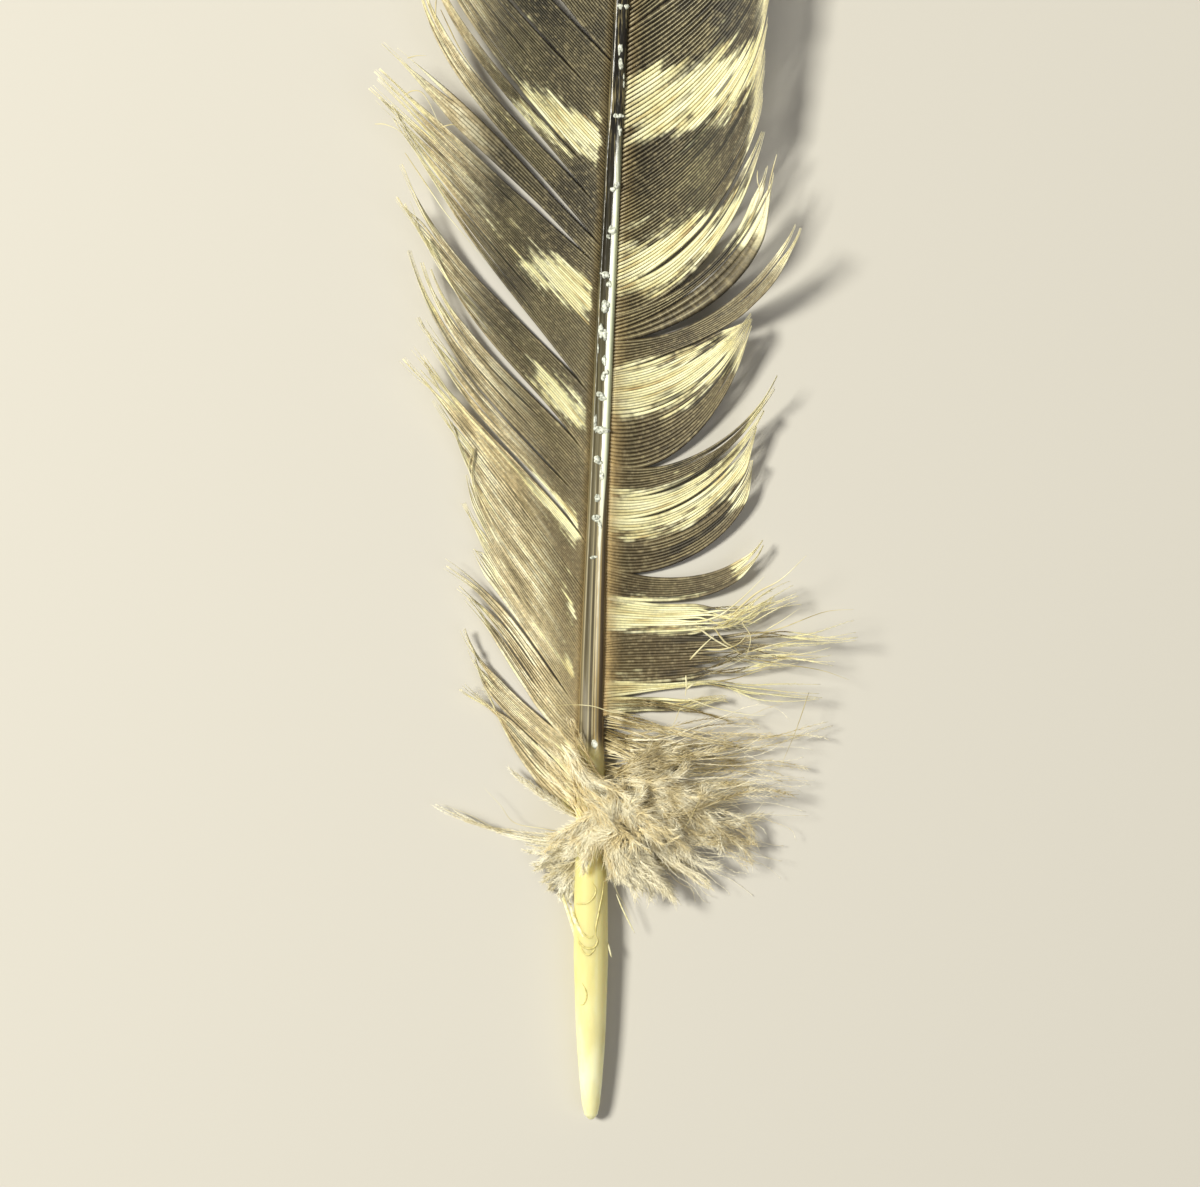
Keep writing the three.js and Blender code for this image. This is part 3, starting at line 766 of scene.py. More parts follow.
# %% Webs of both vanes
LEFT_FRAY = {"relief": 0.35, "size": (3, 6), "length": 0.042, "scatter": 0.28, "lean": 0.75, "close": 0.72}
RIGHT_FRAY = {
    "close": 0.84, "early": 0.45, "often": 0.45, "lean": 0.25, "size": (4, 9), "length": 0.01,
    "scatter": 0.08, "lift": 0.2, "pinch": 0.6,
}
SMOOTH_EDGE = {"pinch": 0.25, "lean": 0.1, "close": 0.88, "lift": 0.1}
LOOSE_ENDS = {
    "close": 0.5, "early": 0.15, "lean": 2.2, "length": 0.07, "relief": 0.5, "scatter": 0.25, "size": (4, 9),
    "uneven": 0.09, "pinch": 0.78,
}
WEB_FRAY = {
    "left_vane_01": {"relief": 0.2, "close": 0.5, "lean": 0.9, "scatter": 0.5, "zipped": 0.85},
    "left_vane_04": {"close": 0.8},
    "left_vane_08": {"length": 0.012, "lean": 0.4},
    "right_vane_01": {**LOOSE_ENDS, "zipped": 0.6, "wander": 1.0},
    "right_vane_02": {**LOOSE_ENDS, "zipped": 0.56, "wander": 1.2, "reach": 0.98},
    "right_vane_03": {**LOOSE_ENDS, "zipped": 0.54, "wander": 1.7, "reach": 0.92},
    "right_vane_04": {**LOOSE_ENDS, "zipped": 0.58, "wander": 1.7, "reach": 0.94},
    **{f"right_vane_{number:02d}": {"relief": 0.6} for number in range(5, 12)},
    **{f"right_vane_{number}": SMOOTH_EDGE for number in range(14, 19)},
}
FRINGED = {"right_vane_01", "right_vane_02", "right_vane_03", "right_vane_04"}
webs, pieces = {}, {}
for side, label in ((-1, "left"), (1, "right")):
    for number, rows in enumerate(all_webs(side), 1):
        node = f"{label}_vane_{number:02d}"
        fray = {**(RIGHT_FRAY if side > 0 else LEFT_FRAY), **WEB_FRAY.get(node, {})}
        webs[node] = web_paths(rows, side, 100 * (side + 2) + number, **fray)
        pieces[node] = web_piece(f"{node}_barbs", webs[node], side, barb_materials[side])
        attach(pieces[node], "root")
        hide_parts(node)
print(sum(web["count"] for web in webs.values()), "barbs,", sum(map(triangles, pieces.values())), "triangles")

# %% [markdown]
# ## The shaft
# A section of the shaft is a rounded box, flat behind. Above the pit a groove runs along its face: steep on
# the left, and on the right a wide even slope that catches the light in one long line. Some 100 mm up it
# turns into a shallow, even dip. One grid of sections from end to end makes the whole shaft.

# %% Shaft mesh
SHAFT_STATIONS = 560
QUILL_TAPER = {"top": -55, "stations": 39}
TOP_SAMPLES = 38
BACK_SAMPLES = 14
GROOVE_START = {"from": 2, "over": 16}
NARROWING = {"from": 96, "over": 10}
GROOVE_PLACES = np.array([-0.37, -0.25, 0.06, 0.33, 0.42])
GROOVE_DEPTHS = np.array([0.0, 0.11, 0.11, 0.012, 0.0])
NARROW_GROOVE = np.array([[-0.3, -0.18, 0.0, 0.18, 0.3], [0.0, 0.02, 0.035, 0.02, 0.0]])
PIT = {"x": 0.08, "y": 0.4, "wide": 0.16, "long": 1.3, "deep": 0.24}
QUILL_RISE = {"below": -35, "width": 5.7, "share": 0.3}


def quill_rise(y):
    """The quill's end tapers from its back, so the back rises by 0.3 of the lost width."""
    return np.where(y < QUILL_RISE["below"], (QUILL_RISE["width"] - shaft_width(y)) * QUILL_RISE["share"], 0)


def shaft_top(place, y):
    """Height of the shaft's face at a place across it, given as a share of its width from the middle.

    It is an ellipse on the quill and a squarer superellipse above, less the groove and a bell-shaped pit.
    """
    width = shaft_width(y)
    horn = smooth((y - GROOVE_START["from"]) / GROOVE_START["over"])
    rim = np.sqrt(np.clip(1 - np.abs(2 * place) ** (2 + 2 * horn), 0, 1))
    body = width * SHAFT_HEIGHT_SHARE * (0.5 + 0.5 * rim)
    even = smooth((y - NARROWING["from"]) / NARROWING["over"])
    wide_dip, narrow_dip = np.interp(place, GROOVE_PLACES, GROOVE_DEPTHS), np.interp(place, *NARROW_GROOVE)
    groove = width * horn * ((1 - even) * wide_dip + even * narrow_dip)
    off = ((place - PIT["x"]) / PIT["wide"]) ** 2 + ((y - PIT["y"]) / PIT["long"]) ** 2
    pit = PIT["deep"] * width * np.exp(-off)
    return back_z(y) + quill_rise(y) + body - groove - pit


def shaft_piece(material):
    """One closed skin of the shaft: the face from right to left, then the back from left to right."""
    top, few = QUILL_TAPER["top"], QUILL_TAPER["stations"]
    taper = np.linspace(QUILL_END, top, few, endpoint=False)
    y = np.concatenate([taper, np.linspace(top, SHAFT_END, SHAFT_STATIONS - few)])
    face = 0.5 * np.cos(np.linspace(0, np.pi, TOP_SAMPLES))
    back = -0.5 * np.cos(np.linspace(0, np.pi, BACK_SAMPLES + 2)[1:-1])
    place = np.concatenate([face, back])
    width = shaft_width(y)[:, None]
    low = width * SHAFT_HEIGHT_SHARE * (0.5 - 0.5 * (1 - np.abs(2 * back) ** 3) ** 0.4)
    z_back = back_z(y)[:, None] + quill_rise(y)[:, None] + low
    z = np.concatenate([shaft_top(face[None], y[:, None]), z_back], 1)
    x = shaft_x(y)[:, None] + width * place
    points = np.stack([x, np.broadcast_to(y[:, None], x.shape), z], -1)
    steps, sides = x.shape
    ring = np.arange(sides)
    angle = ring / sides * 2 * np.pi
    a = np.arange(steps - 1)[:, None] * sides + ring
    b = np.arange(steps - 1)[:, None] * sides + (ring + 1) % sides
    u = 0.01 + 0.98 * (y - y[0]) / (y[-1] - y[0])
    v = 0.02 + 0.84 * np.arange(sides + 1) / sides
    disc = np.stack([np.cos(angle), np.sin(angle)], -1) * 0.05
    walls = np.stack([a, b, b + sides, a + sides], -1).reshape(-1, 4)
    blocks = [
        (walls, map_corners(u[:, None], v).reshape(-1, 4, 2)),
        (ring[None, ::-1], (disc[::-1] + [0.1, 0.93])[None]),
        ((ring + (steps - 1) * sides)[None], (disc + [0.3, 0.93])[None]),
    ]
    attributes = {"side": np.broadcast_to(2 * place, x.shape)}
    return make_mesh("shaft_horn", points.reshape(-1, 3), blocks, attributes, material)


print("groove", round(float(shaft_width(60) * GROOVE_DEPTHS.max()), 2), "mm deep 60 mm up")

# %% [markdown]
# ## Horn of the shaft
# The bare quill is a dry, matt horn tube, almost white at its end and yellower towards the down. Above the
# pit the horn is denser and polished: black olive high up, greyer lower down, with lengthwise fibres. White
# pith showing through the thin right wall of the groove is painted there as a pale line, brightened into a
# painted highlight of the key light's reflection on that wall.

# %% Material of the shaft
def horn_material():
    """Horn: matt pale quill to glossy olive shaft along Y, with lengthwise streaks and a pale wall of painted
    highlight.
    """
    material, node = new_material("feather_shaft_horn")
    place = node("TexCoord", out="Object")
    y = node("SeparateXYZ", {0: place}, out="Y")
    side = node("Attribute", attribute_name="side", out="Fac")
    level = node("MapRange", {0: y, 1: -62 * MM, 2: 130 * MM})
    body = node("ValToRGB", {0: level}, stops=[
        (0.0, "#F6F5D4"), (0.12, "#E6DE9E"), (0.2, "#DFD48F"), (0.3, "#DED18E"), (0.33, "#857651"),
        (0.5, "#7A7154"), (0.62, "#5E583E"), (0.74, "#2E2A1A"), (0.86, "#14110A"), (1.0, "#100D06"),
    ])
    horn = node("MapRange", {0: y, 1: -2 * MM, 2: 2 * MM}, **STEP)

    # Fibres of the horn are about 0.3 mm wide and 45 mm long.
    fibre_at = node("Mapping", {0: place, 3: (2900.0, 22.0, 2900.0)})
    fibre = node("TexNoise", {"Vector": fibre_at, "Scale": 1.0, "Detail": 3.0, "Roughness": 0.62})
    light_share = node("MapRange", {0: fibre, 1: 0.52, 2: 0.7, 3: 0.0, 4: 0.7}, **STEP)
    sandy = node("Mix", {0: 0.5, 6: body, 7: "#D8C690"}, **COLOUR)
    light = node("Mix", {0: light_share, 6: body, 7: sandy}, **COLOUR)
    dark_share = node("MapRange", {0: fibre, 1: 0.46, 2: 0.3, 3: 0.0, 4: 0.75}, **STEP)
    brown = node("Mix", {0: 0.7, 6: body, 7: "#2A1E10"}, **COLOUR)
    dark = node("Mix", {0: dark_share, 6: light, 7: brown}, **COLOUR)

    # Low down it is banded lengthwise: grey on the left, pale lines in the groove that are partly streaks of
    # the horn and partly painted highlights, gold and brown right.
    band_at = node("MapRange", {0: side, 1: -1.0, 2: 1.0})
    bands = node("ValToRGB", {0: band_at}, stops=[
        (0.0, "#A08A5C"), (0.06, "#4C432C"), (0.11, "#9A8F6E"), (0.16, "#5A5139"), (0.32, "#5E563E"),
        (0.38, "#A89C78"), (0.42, "#2E2718"), (0.5, "#4A4029"), (0.54, "#C2B488"), (0.58, "#4E4029"),
        (0.63, "#BBA26A"), (0.68, "#5E4D30"), (0.75, "#9A8450"), (0.8, "#3A2A18"), (0.92, "#4A3720"),
        (1.0, "#B79A62"),
    ])
    banded_share = node("MapRange", {0: y, 1: 62 * MM, 2: 22 * MM, 3: 0.0, 4: 0.85}, **STEP)
    banded = node("Mix", {0: banded_share, 6: dark, 7: bands}, **COLOUR)
    streaked = node("Mix", {0: horn, 6: body, 7: banded}, **COLOUR)

    # A dark brown line follows the right edge.
    edge = node("MapRange", {0: side, 1: 0.88, 2: 0.97, 3: 0.0, 4: 0.8}, **STEP)
    edge_share = node("Math", {0: edge, 1: horn}, operation="MULTIPLY")
    edged = node("Mix", {0: edge_share, 6: streaked, 7: "#4C341D"}, **COLOUR)

    # The pale wall is a painted highlight: the key light's long reflection on the groove's right wall,
    # whitened where pith shows through the horn. It is strongest from 56 to 88 mm up. Its left border is
    # ragged, and low down its right border moves in, so that it is narrower there.
    ragged_at = node("Mapping", {0: place, 3: (500.0, 260.0, 500.0)})
    ragged = node("TexNoise", {"Vector": ragged_at, "Scale": 1.0, "Detail": 3.0})
    low = node("MapRange", {0: y, 1: 54 * MM, 2: 30 * MM}, **STEP)
    wall = node("Math", {0: ragged, 1: 0.5, 2: side}, operation="MULTIPLY_ADD")
    wall = node("Math", {0: low, 1: -0.02, 2: wall}, operation="MULTIPLY_ADD")
    highlight_left = node("MapRange", {0: wall, 1: 0.42, 2: 0.56}, **STEP)
    slid = node("Math", {0: low, 1: 0.5, 2: side}, operation="MULTIPLY_ADD")
    highlight_right = node("MapRange", {0: slid, 1: 0.95, 2: 0.86}, **STEP)
    rising = node("MapRange", {0: y, 1: 12 * MM, 2: 56 * MM, 3: 0.15, 4: 1.0}, **STEP)
    falling = node("MapRange", {0: y, 1: 103 * MM, 2: 88 * MM}, **STEP)
    inside = node("Math", {0: highlight_left, 1: highlight_right}, operation="MULTIPLY")
    strength = node("Math", {0: rising, 1: falling}, operation="MULTIPLY")
    pale = node("Math", {0: inside, 1: strength}, operation="MULTIPLY")
    # The painted highlight turns greyer towards its right border.
    highlight_tint = node("MapRange", {0: side, 1: 0.45, 2: 0.75}, **STEP)
    highlight_colour = node("Mix", {0: highlight_tint, 6: "#E6EAD2", 7: "#B9BE9E"}, **COLOUR)
    highlighted = node("Mix", {0: pale, 6: edged, 7: highlight_colour}, **COLOUR)

    # The quill is clouded by dried skin.
    cloud_at = node("Mapping", {0: place, 3: (260.0, 90.0, 260.0)})
    cloud = node("TexNoise", {"Vector": cloud_at, "Scale": 1.0, "Detail": 4.0})
    cloud_share = node("MapRange", {0: cloud, 1: 0.38, 2: 0.6, 3: 0.5, 4: 0.0}, **STEP)
    bare_quill = node("Math", {0: 1.0, 1: horn}, operation="SUBTRACT")
    quill_cloud = node("Math", {0: cloud_share, 1: bare_quill}, operation="MULTIPLY")
    colour = node("Mix", {0: quill_cloud, 6: highlighted, 7: "#D2C880"}, **COLOUR)

    # Its skin has ripples a millimetre wide and three long, and above the pit the fibres stand out too.
    ripple_at = node("Mapping", {0: place, 3: (900.0, 330.0, 900.0)})
    ripple = node("TexNoise", {"Vector": ripple_at, "Scale": 1.0, "Detail": 2.0})
    rippled = node("Bump", {"Strength": 0.35, "Distance": 0.15 * MM, "Height": ripple})
    fibred = node("Math", {0: fibre, 1: horn}, operation="MULTIPLY")
    normal = node("Bump", {"Strength": 0.5, "Distance": 0.12 * MM, "Height": fibred, "Normal": rippled})
    roughness = node("MapRange", {0: y, 1: 0.0, 2: 70 * MM, 3: 0.52, 4: 0.3}, **STEP)

    # Light sinks into the bare tube and comes out again, which evens out its shading.
    depth = node("MapRange", {0: horn, 3: 0.75, 4: 0.0})
    shader = node("BsdfPrincipled", {
        "Base Color": colour, "Roughness": roughness, "Normal": normal, "IOR": KERATIN_IOR,
        "Subsurface Weight": depth, "Subsurface Radius": (1.0, 0.88, 0.6), "Subsurface Scale": 3.6 * MM,
    })
    node("OutputMaterial", {"Surface": shader})
    return material


shaft = shaft_piece(horn_material())
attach(shaft, "root")
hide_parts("shaft")
print("shaft", triangles(shaft), "triangles")

# %% [markdown]
# ## Flakes in the groove
# Dry white flakes of the sheath that the feather grew in are still stuck along the groove. Each is a small
# cluster of lumpy pebbles: squashed balls whose radius swells and dips with a few waves round it.

# %% Sheath flakes
FLAKES = np.array(
    [  # y, place across the shaft, half width, half length
        [121.4, -0.12, 0.42, 0.45], [121.2, 0.3, 0.4, 0.4], [114.6, 0.05, 0.34, 0.8], [112.4, 0.12, 0.4, 0.9],
        [109.8, 0.36, 0.16, 1.0], [103.6, 0.12, 0.75, 0.42], [101.5, 0.3, 0.3, 0.7], [92.3, 0.12, 0.6, 0.6],
        [85.5, 0.1, 0.5, 0.8], [84.2, -0.05, 0.3, 0.4], [77.8, -0.1, 0.7, 0.55], [76.2, 0.1, 0.3, 0.6],
        [72.6, 0.0, 0.6, 0.75], [68.4, -0.12, 0.62, 0.85], [65.4, -0.3, 0.16, 0.6], [63.6, 0.05, 0.3, 0.6],
        [61.3, 0.08, 0.36, 0.7], [58.3, -0.02, 0.7, 0.4], [57.3, 0.02, 0.5, 0.35], [53.4, -0.3, 0.2, 1.0],
        [52.2, 0.0, 0.8, 0.42], [47.3, -0.05, 0.62, 0.6], [44.9, 0.12, 0.24, 0.9], [41.0, 0.02, 0.5, 0.4],
        [37.6, -0.02, 0.55, 0.45], [36.6, 0.15, 0.26, 0.5], [31.2, -0.1, 0.45, 0.18], [0.4, 0.12, 0.5, 0.62],
    ]
)
RINGS, SPOKES, LUMPS = 7, 10, 4
SPREAD = 0.75
SMALLEST, LARGEST = 0.4, 0.85


def flakes_piece(material):
    """Clusters of squashed balls: a share of the listed radii, larger low down, times 1 + two sine waves."""
    rng = np.random.default_rng(61)
    count = len(FLAKES) * LUMPS
    y, place, wide, long = np.repeat(FLAKES, LUMPS, axis=0).T
    y = y + long * rng.uniform(-SPREAD, SPREAD, count)
    place = place + wide / shaft_width(y) * rng.uniform(-SPREAD, SPREAD, count)
    scale = np.interp(y, [60, 85], [1.4, 1.1])
    wide = scale * wide * rng.uniform(SMALLEST, LARGEST, count)
    long = scale * long * rng.uniform(SMALLEST, LARGEST, count)
    polar = np.linspace(0.12, np.pi - 0.12, RINGS)[None, :, None]
    turn = (np.arange(SPOKES) / SPOKES * 2 * np.pi)[None, None]
    wave = rng.uniform(0, 2 * np.pi, (2, count, 1, 1))
    swell = 1 + 0.24 * np.sin(2 * turn + wave[0]) * np.sin(polar)
    swell = swell + 0.16 * np.sin(3 * turn + 2 * polar + wave[1])
    middle = np.stack([shaft_x(y) + place * shaft_width(y), y, shaft_top(place, y)], -1)[:, None, None]
    tall = 0.6 * np.minimum(wide, long)
    ball = [
        wide[:, None, None] * np.sin(polar) * np.cos(turn) * swell,
        long[:, None, None] * np.cos(polar) * np.ones_like(turn) * swell,
        tall[:, None, None] * np.sin(polar) * np.sin(turn) * swell,
    ]
    points = middle + np.stack(np.broadcast_arrays(*ball), -1)
    blocks = tube_blocks(count, RINGS, SPOKES, columns=4)
    return make_mesh("sheath_flakes", points.reshape(-1, 3), blocks, {}, material)


def flake_material():
    """Dried sheath: chalky white keratin with a faint gloss on its lumps."""
    material, node = new_material("dried_sheath")
    place = node("TexCoord", out="Object")
    grain = node("TexNoise", {"Vector": place, "Scale": 2500.0, "Detail": 3.0})
    colour = node("ValToRGB", {0: grain}, stops=[(0.36, "#8F9384"), (0.6, "#E9EBDD")])
    normal = node("Bump", {"Strength": 0.6, "Distance": 0.1 * MM, "Height": grain})
    shader = node("BsdfPrincipled", {"Base Color": colour, "Roughness": 0.4, "Normal": normal})
    node("OutputMaterial", {"Surface": shader})
    return material


flakes = flakes_piece(flake_material())
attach(flakes, "root")
print(len(FLAKES), "flakes of", LUMPS, "lumps,", triangles(flakes), "triangles")

# %% [markdown]
# ## Skin left on the quill
# Where the quill sat in its follicle, shreds of dried skin still cling to it: strips that have peeled off its
# left edge, folds and loops lying on its face, and two slivers standing out on the right. They are thin
# ribbons along curves through a few points, and the folds are laid on the face of the quill.

# %% Shreds of skin on the quill
SHREDS = {  # half width, then points x, y and, for peels, height over the table
    "peels": [
        [
            0.3, [-5.1, -23.0, 2.2], [-4.6, -24.9, 2.5], [-3.95, -26.8, 2.7], [-3.3, -28.8, 2.7],
            [-2.7, -31.0, 2.5], [-2.5, -33.5, 2.3],
        ],
        [
            0.34, [-3.3, -26.2, 3.4], [-2.9, -27.7, 4.0], [-2.3, -29.0, 4.4], [-1.7, -30.1, 4.7],
            [-1.1, -31.1, 4.9],
        ],
        [0.16, [2.8, -32.3, 3.4], [3.05, -33.3, 3.4], [3.4, -34.7, 3.2]],
        [0.13, [4.2, -24.2, 3.8], [5.1, -26.4, 3.7], [6.2, -28.7, 3.4], [7.2, -30.7, 3.0]],
    ],
    "folds": [
        [
            0.2, [-2.2, -31.1], [-1.75, -32.0], [-0.95, -32.7], [-0.1, -32.8], [0.7, -32.5],
            [1.1, -31.6], [0.8, -30.6],
        ],
        [0.17, [0.8, -30.6], [0.85, -29.2], [1.2, -27.5], [1.5, -25.9], [1.9, -24.0], [2.1, -22.0]],
        [0.16, [-2.5, -25.8], [-1.75, -25.6], [-0.6, -25.4], [0.5, -24.4], [0.85, -23.1], [0.2, -22.0]],
        [0.18, [-2.0, -32.0], [-1.3, -33.3], [-0.45, -33.9], [0.35, -33.3], [0.85, -32.5]],
        [0.18, [-2.5, -27.9], [-1.9, -29.2], [-1.3, -30.3], [-0.15, -31.1], [0.5, -30.7]],
        [0.12, [-1.45, -38.5], [-0.8, -39.7], [-0.65, -40.8], [-1.1, -42.0], [-1.8, -42.3]],
    ],
}


def through(points, steps=24):
    """A smooth curve through points: Catmull-Rom spans, each a cubic of its four nearest points."""
    p = np.array(points, float)
    p = np.concatenate([2 * p[:1] - p[1:2], p, 2 * p[-1:] - p[-2:-1]])
    s = np.linspace(0, len(p) - 3, steps)
    i = np.minimum(s.astype(int), len(p) - 4)
    f = (s - i)[:, None]
    a, b, c, d = p[i], p[i + 1], p[i + 2], p[i + 3]
    return 0.5 * (2 * b + (c - a) * f + (2 * a - 5 * b + 4 * c - d) * f**2 + (3 * b - a - 3 * c + d) * f**3)


def shred_group(shreds, laid):
    """Ribbons of skin: flat tubes that narrow to both ends, free or laid on the quill's face."""
    path = np.stack([through(points) for _, *points in shreds])
    if laid:
        place = (path[..., 0] - shaft_x(path[..., 1])) / shaft_width(path[..., 1])
        path = np.concatenate([path, shaft_top(place, path[..., 1])[..., None]], -1)
    u = np.linspace(0, 1, path.shape[1])
    ends = np.minimum(0.35 + 3 * u, 1) * np.minimum(0.25 + 3 * (1 - u), 1)
    radius = np.array([shred[0] for shred in shreds])[:, None] * ends
    return {"path": path, "radius": radius, "sides": 6, "flat": 0.5, "attributes": {"reach": u[None]}}


def skin_material(name, dull, bright):
    """Dried skin: thin and crinkled, whitish where it has peeled off, yellow where it lies on the quill."""
    material, node = new_material(name)
    place = node("TexCoord", out="Object")
    crinkle = node("TexNoise", {"Vector": place, "Scale": 1500.0, "Detail": 3.0})
    colour = node("ValToRGB", {0: crinkle}, stops=[(0.32, dull), (0.6, bright)])
    normal = node("Bump", {"Strength": 0.5, "Distance": 0.08 * MM, "Height": crinkle})
    shader = node("BsdfPrincipled", {"Base Color": colour, "Roughness": 0.45, "Normal": normal})
    node("OutputMaterial", {"Surface": shader})
    return material


peeled_skin = skin_material("dried_skin_peeled", "#DCD193", "#F8F4CE")
laid_skin = skin_material("dried_skin_laid", "#B3A561", "#DED38A")
peels = fibre_piece("quill_skin_peels", [shred_group(SHREDS["peels"], False)], peeled_skin)
folds = fibre_piece("quill_skin_folds", [shred_group(SHREDS["folds"], True)], laid_skin)
for skin in (peels, folds):
    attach(skin, "root")
    print(skin.name, triangles(skin), "triangles")

# %% [markdown]
# ## Down
# Low on the shaft the barbs are downy: each is a thin soft stem with very long, fine, unhooked barbules that
# stand out on both sides and tangle with the next barb's. A tuft is a fan of such stems between its edge
# stems. The real barbules are 0.02 mm thick, far too fine to see, so they are fewer and thicker here: mostly
# 0.11 mm at the root, and a third of that at the tip.

# %% Stems of a tuft
def fan_paths(tuft, seed, steps=26):
    """Stems of a tuft: cubic curves between its rows, with an arch in height and a slow random sway.

    A row is x, y, z and compass heading where the stem starts, then the same where it ends. Stems gather in
    locks: towards its end a stem is drawn to the middle of its lock, and a lock strays as one.
    """
    rng = np.random.default_rng(seed)
    count = tuft["count"]
    lock = np.arange(count) // tuft.get("lock", 4)
    locks = lock.max() + 1
    rows = np.array(tuft["rows"], float)
    each = blend_rows(rows, (np.arange(count) + rng.random(count)) / count * (len(rows) - 1))
    t = np.linspace(0, 1, steps)[None]
    loose, stray = tuft.get("loose", 1.2), tuft.get("stray", 9)
    start = each[:, 0:3] + rng.normal(0, 0.35, (count, 3)) * [1, 1, 0.5]
    end = each[:, 4:7] + rng.normal(0, loose, (locks, 3))[lock] * [1, 1, 0.8]
    end = end + rng.normal(0, 0.6, (count, 3)) * [1, 1, 0.4]
    reach = 1 - tuft.get("short", 0.35) * rng.random((locks, 1))[lock] ** 1.3 - 0.12 * rng.random((count, 1))
    end = start + (end - start) * reach
    turn0 = np.radians(each[:, 3] + rng.normal(0, stray, count))
    turn1 = np.radians(each[:, 7] + rng.normal(0, 1.5 * stray, locks)[lock] + rng.normal(0, stray, count))
    handle = HANDLE * np.linalg.norm(end - start, axis=-1, keepdims=True)
    rise = rng.normal(tuft.get("arch", 0.1), 0.08, (count, 1))
    control0 = start + handle * np.stack([np.sin(turn0), np.cos(turn0), rise[:, 0]], -1)
    control1 = end - handle * np.stack([np.sin(turn1), np.cos(turn1), -rise[:, 0]], -1)
    path = cubic((start, control0, control1, end), t)
    member = (lock[:, None] == np.arange(locks)).astype(float)
    centre = np.einsum("nl,nsk->lsk", member, path) / member.sum(0)[:, None, None]
    path = path + (centre[lock] - path) * (0.6 * smooth((t - 0.25) / 0.75))[..., None]
    waves = rng.uniform(0, 2 * np.pi, (2, 3, count, 1))
    sway = np.sin(7 * t[None] + waves[0]) + 0.5 * np.sin(15 * t[None] + waves[1])
    path = path + tuft.get("sway", 0.3) * t[..., None] * np.moveaxis(sway, 0, -1) * [1, 1, 0.6]
    path[..., 2] = np.clip(path[..., 2], tuft.get("floor", 0.2), tuft.get("ceiling", 5.8))
    tone = 0.75 * rng.random(locks)[lock] + 0.25 * rng.random(count)
    return path, tone + tuft.get("bright", 0)


# %% Barbules of a stem
BARBULE_PLACES = np.array([0, 0.36, 0.7, 1.0])


def barbules(path, seed, per, length, start=0.03, spread=(16, 42), roll=26, thick=0.055, taper=0.6):
    """Barbules along many stems, as paths of four points with their radii, and their stem and place on it.

    Each leaves its stem at an angle between the two of spread, on alternate sides, rolled out of the level
    plane by a random angle. From there it bends by the square of the place along it, towards the stem's tip
    and a little at random.
    """
    rng = np.random.default_rng(seed)
    count, steps = path.shape[:2]
    place = start + (0.99 - start) * (np.arange(per) + rng.random((count, per))) / per
    at = place * (steps - 1)
    low = np.minimum(at.astype(int), steps - 2)
    part = (at - low)[..., None]
    stem = np.arange(count)[:, None]
    base = path[stem, low] * (1 - part) + path[stem, low + 1] * part
    tangent = unit(path[stem, low + 1] - path[stem, low])
    flat = unit(np.cross(tangent, [0.0, 0.02, 1.0])) * np.where(np.arange(per) % 2, 1.0, -1.0)[None, :, None]
    up = np.array([0.0, 0.0, 1.0])
    tilt = np.radians(rng.normal(0, roll, (count, per)))[..., None]
    outward = unit(np.cos(tilt) * flat + np.sin(tilt) * up)
    angle = np.radians(rng.uniform(*spread, (count, per)))[..., None]
    heading = np.cos(angle) * tangent + np.sin(angle) * outward
    size = length * smooth((place - start + 0.03) / 0.2) * (1 - taper * place)
    size = size * rng.uniform(0.5, 1.2, (count, per))
    q = BARBULE_PLACES
    bend = 0.3 * tangent + rng.normal(0, 0.07, (count, per, 3))
    reach = heading[:, :, None] * q[:, None] + bend[:, :, None] * (q**2)[:, None]
    fibre = base[:, :, None] + size[..., None, None] * reach
    radius = np.broadcast_to(thick * (1 - 0.7 * q), fibre.shape[:3])
    owner = np.broadcast_to(stem, (count, per)).ravel()
    return fibre.reshape(-1, len(q), 3), radius.reshape(-1, len(q)), owner, place.ravel()


def downy_groups(path, tone, seed, per, length, stem, **shape):
    """Stems and their barbules as two groups of tubes, with a tone for each stem and its place along it."""
    rng = np.random.default_rng(seed + 7)
    count, steps = path.shape[:2]
    t = np.linspace(0, 1, steps)
    fibre, radius, owner, place = barbules(path, seed, per, length, **shape)
    stems = {"tone": tone[:, None], "reach": t[None], "fine": np.zeros((1, 1))}
    own_tone = 0.55 * tone[owner][:, None] + 0.45 * rng.random((len(owner), 1))
    fine = {"tone": own_tone, "reach": place[:, None], "fine": BARBULE_PLACES[None]}
    thickness = np.broadcast_to(stem * (1 - 0.72 * t), (count, steps))
    return [
        {"path": path, "radius": thickness, "sides": 4, "attributes": stems},
        {"path": fibre, "radius": radius, "sides": 3, "attributes": fine},
    ]


# %% [markdown]
# ## Where the down grows
# Four masses of down are built from tufts: broad fans low on the right with a second layer over them, thin
# wisps on the left, and the afterfeather, a curled tuft that lies across the top of the quill. Each tuft is a
# few given rows, and settings for how untidy it is.

# %% Tufts of down, in millimetres and compass degrees
def swirl_rows(x, y, z, reach):
    """Rows of a rosette: stems leave its middle all round, and each curls clockwise by 70 degrees."""
    turns = np.linspace(0, 360, 9)
    start, end = np.radians(turns), np.radians(turns + 40)
    left = [x + 1.8 * np.sin(start), y + 1.8 * np.cos(start), np.full(9, z), turns]
    right = [x + reach * np.sin(end), y + reach * np.cos(end), np.full(9, z - 1.4), turns + 70]
    return np.stack(left + right, -1)


COMBED = {"spread": (12, 30), "start": 0.1, "roll": 20}

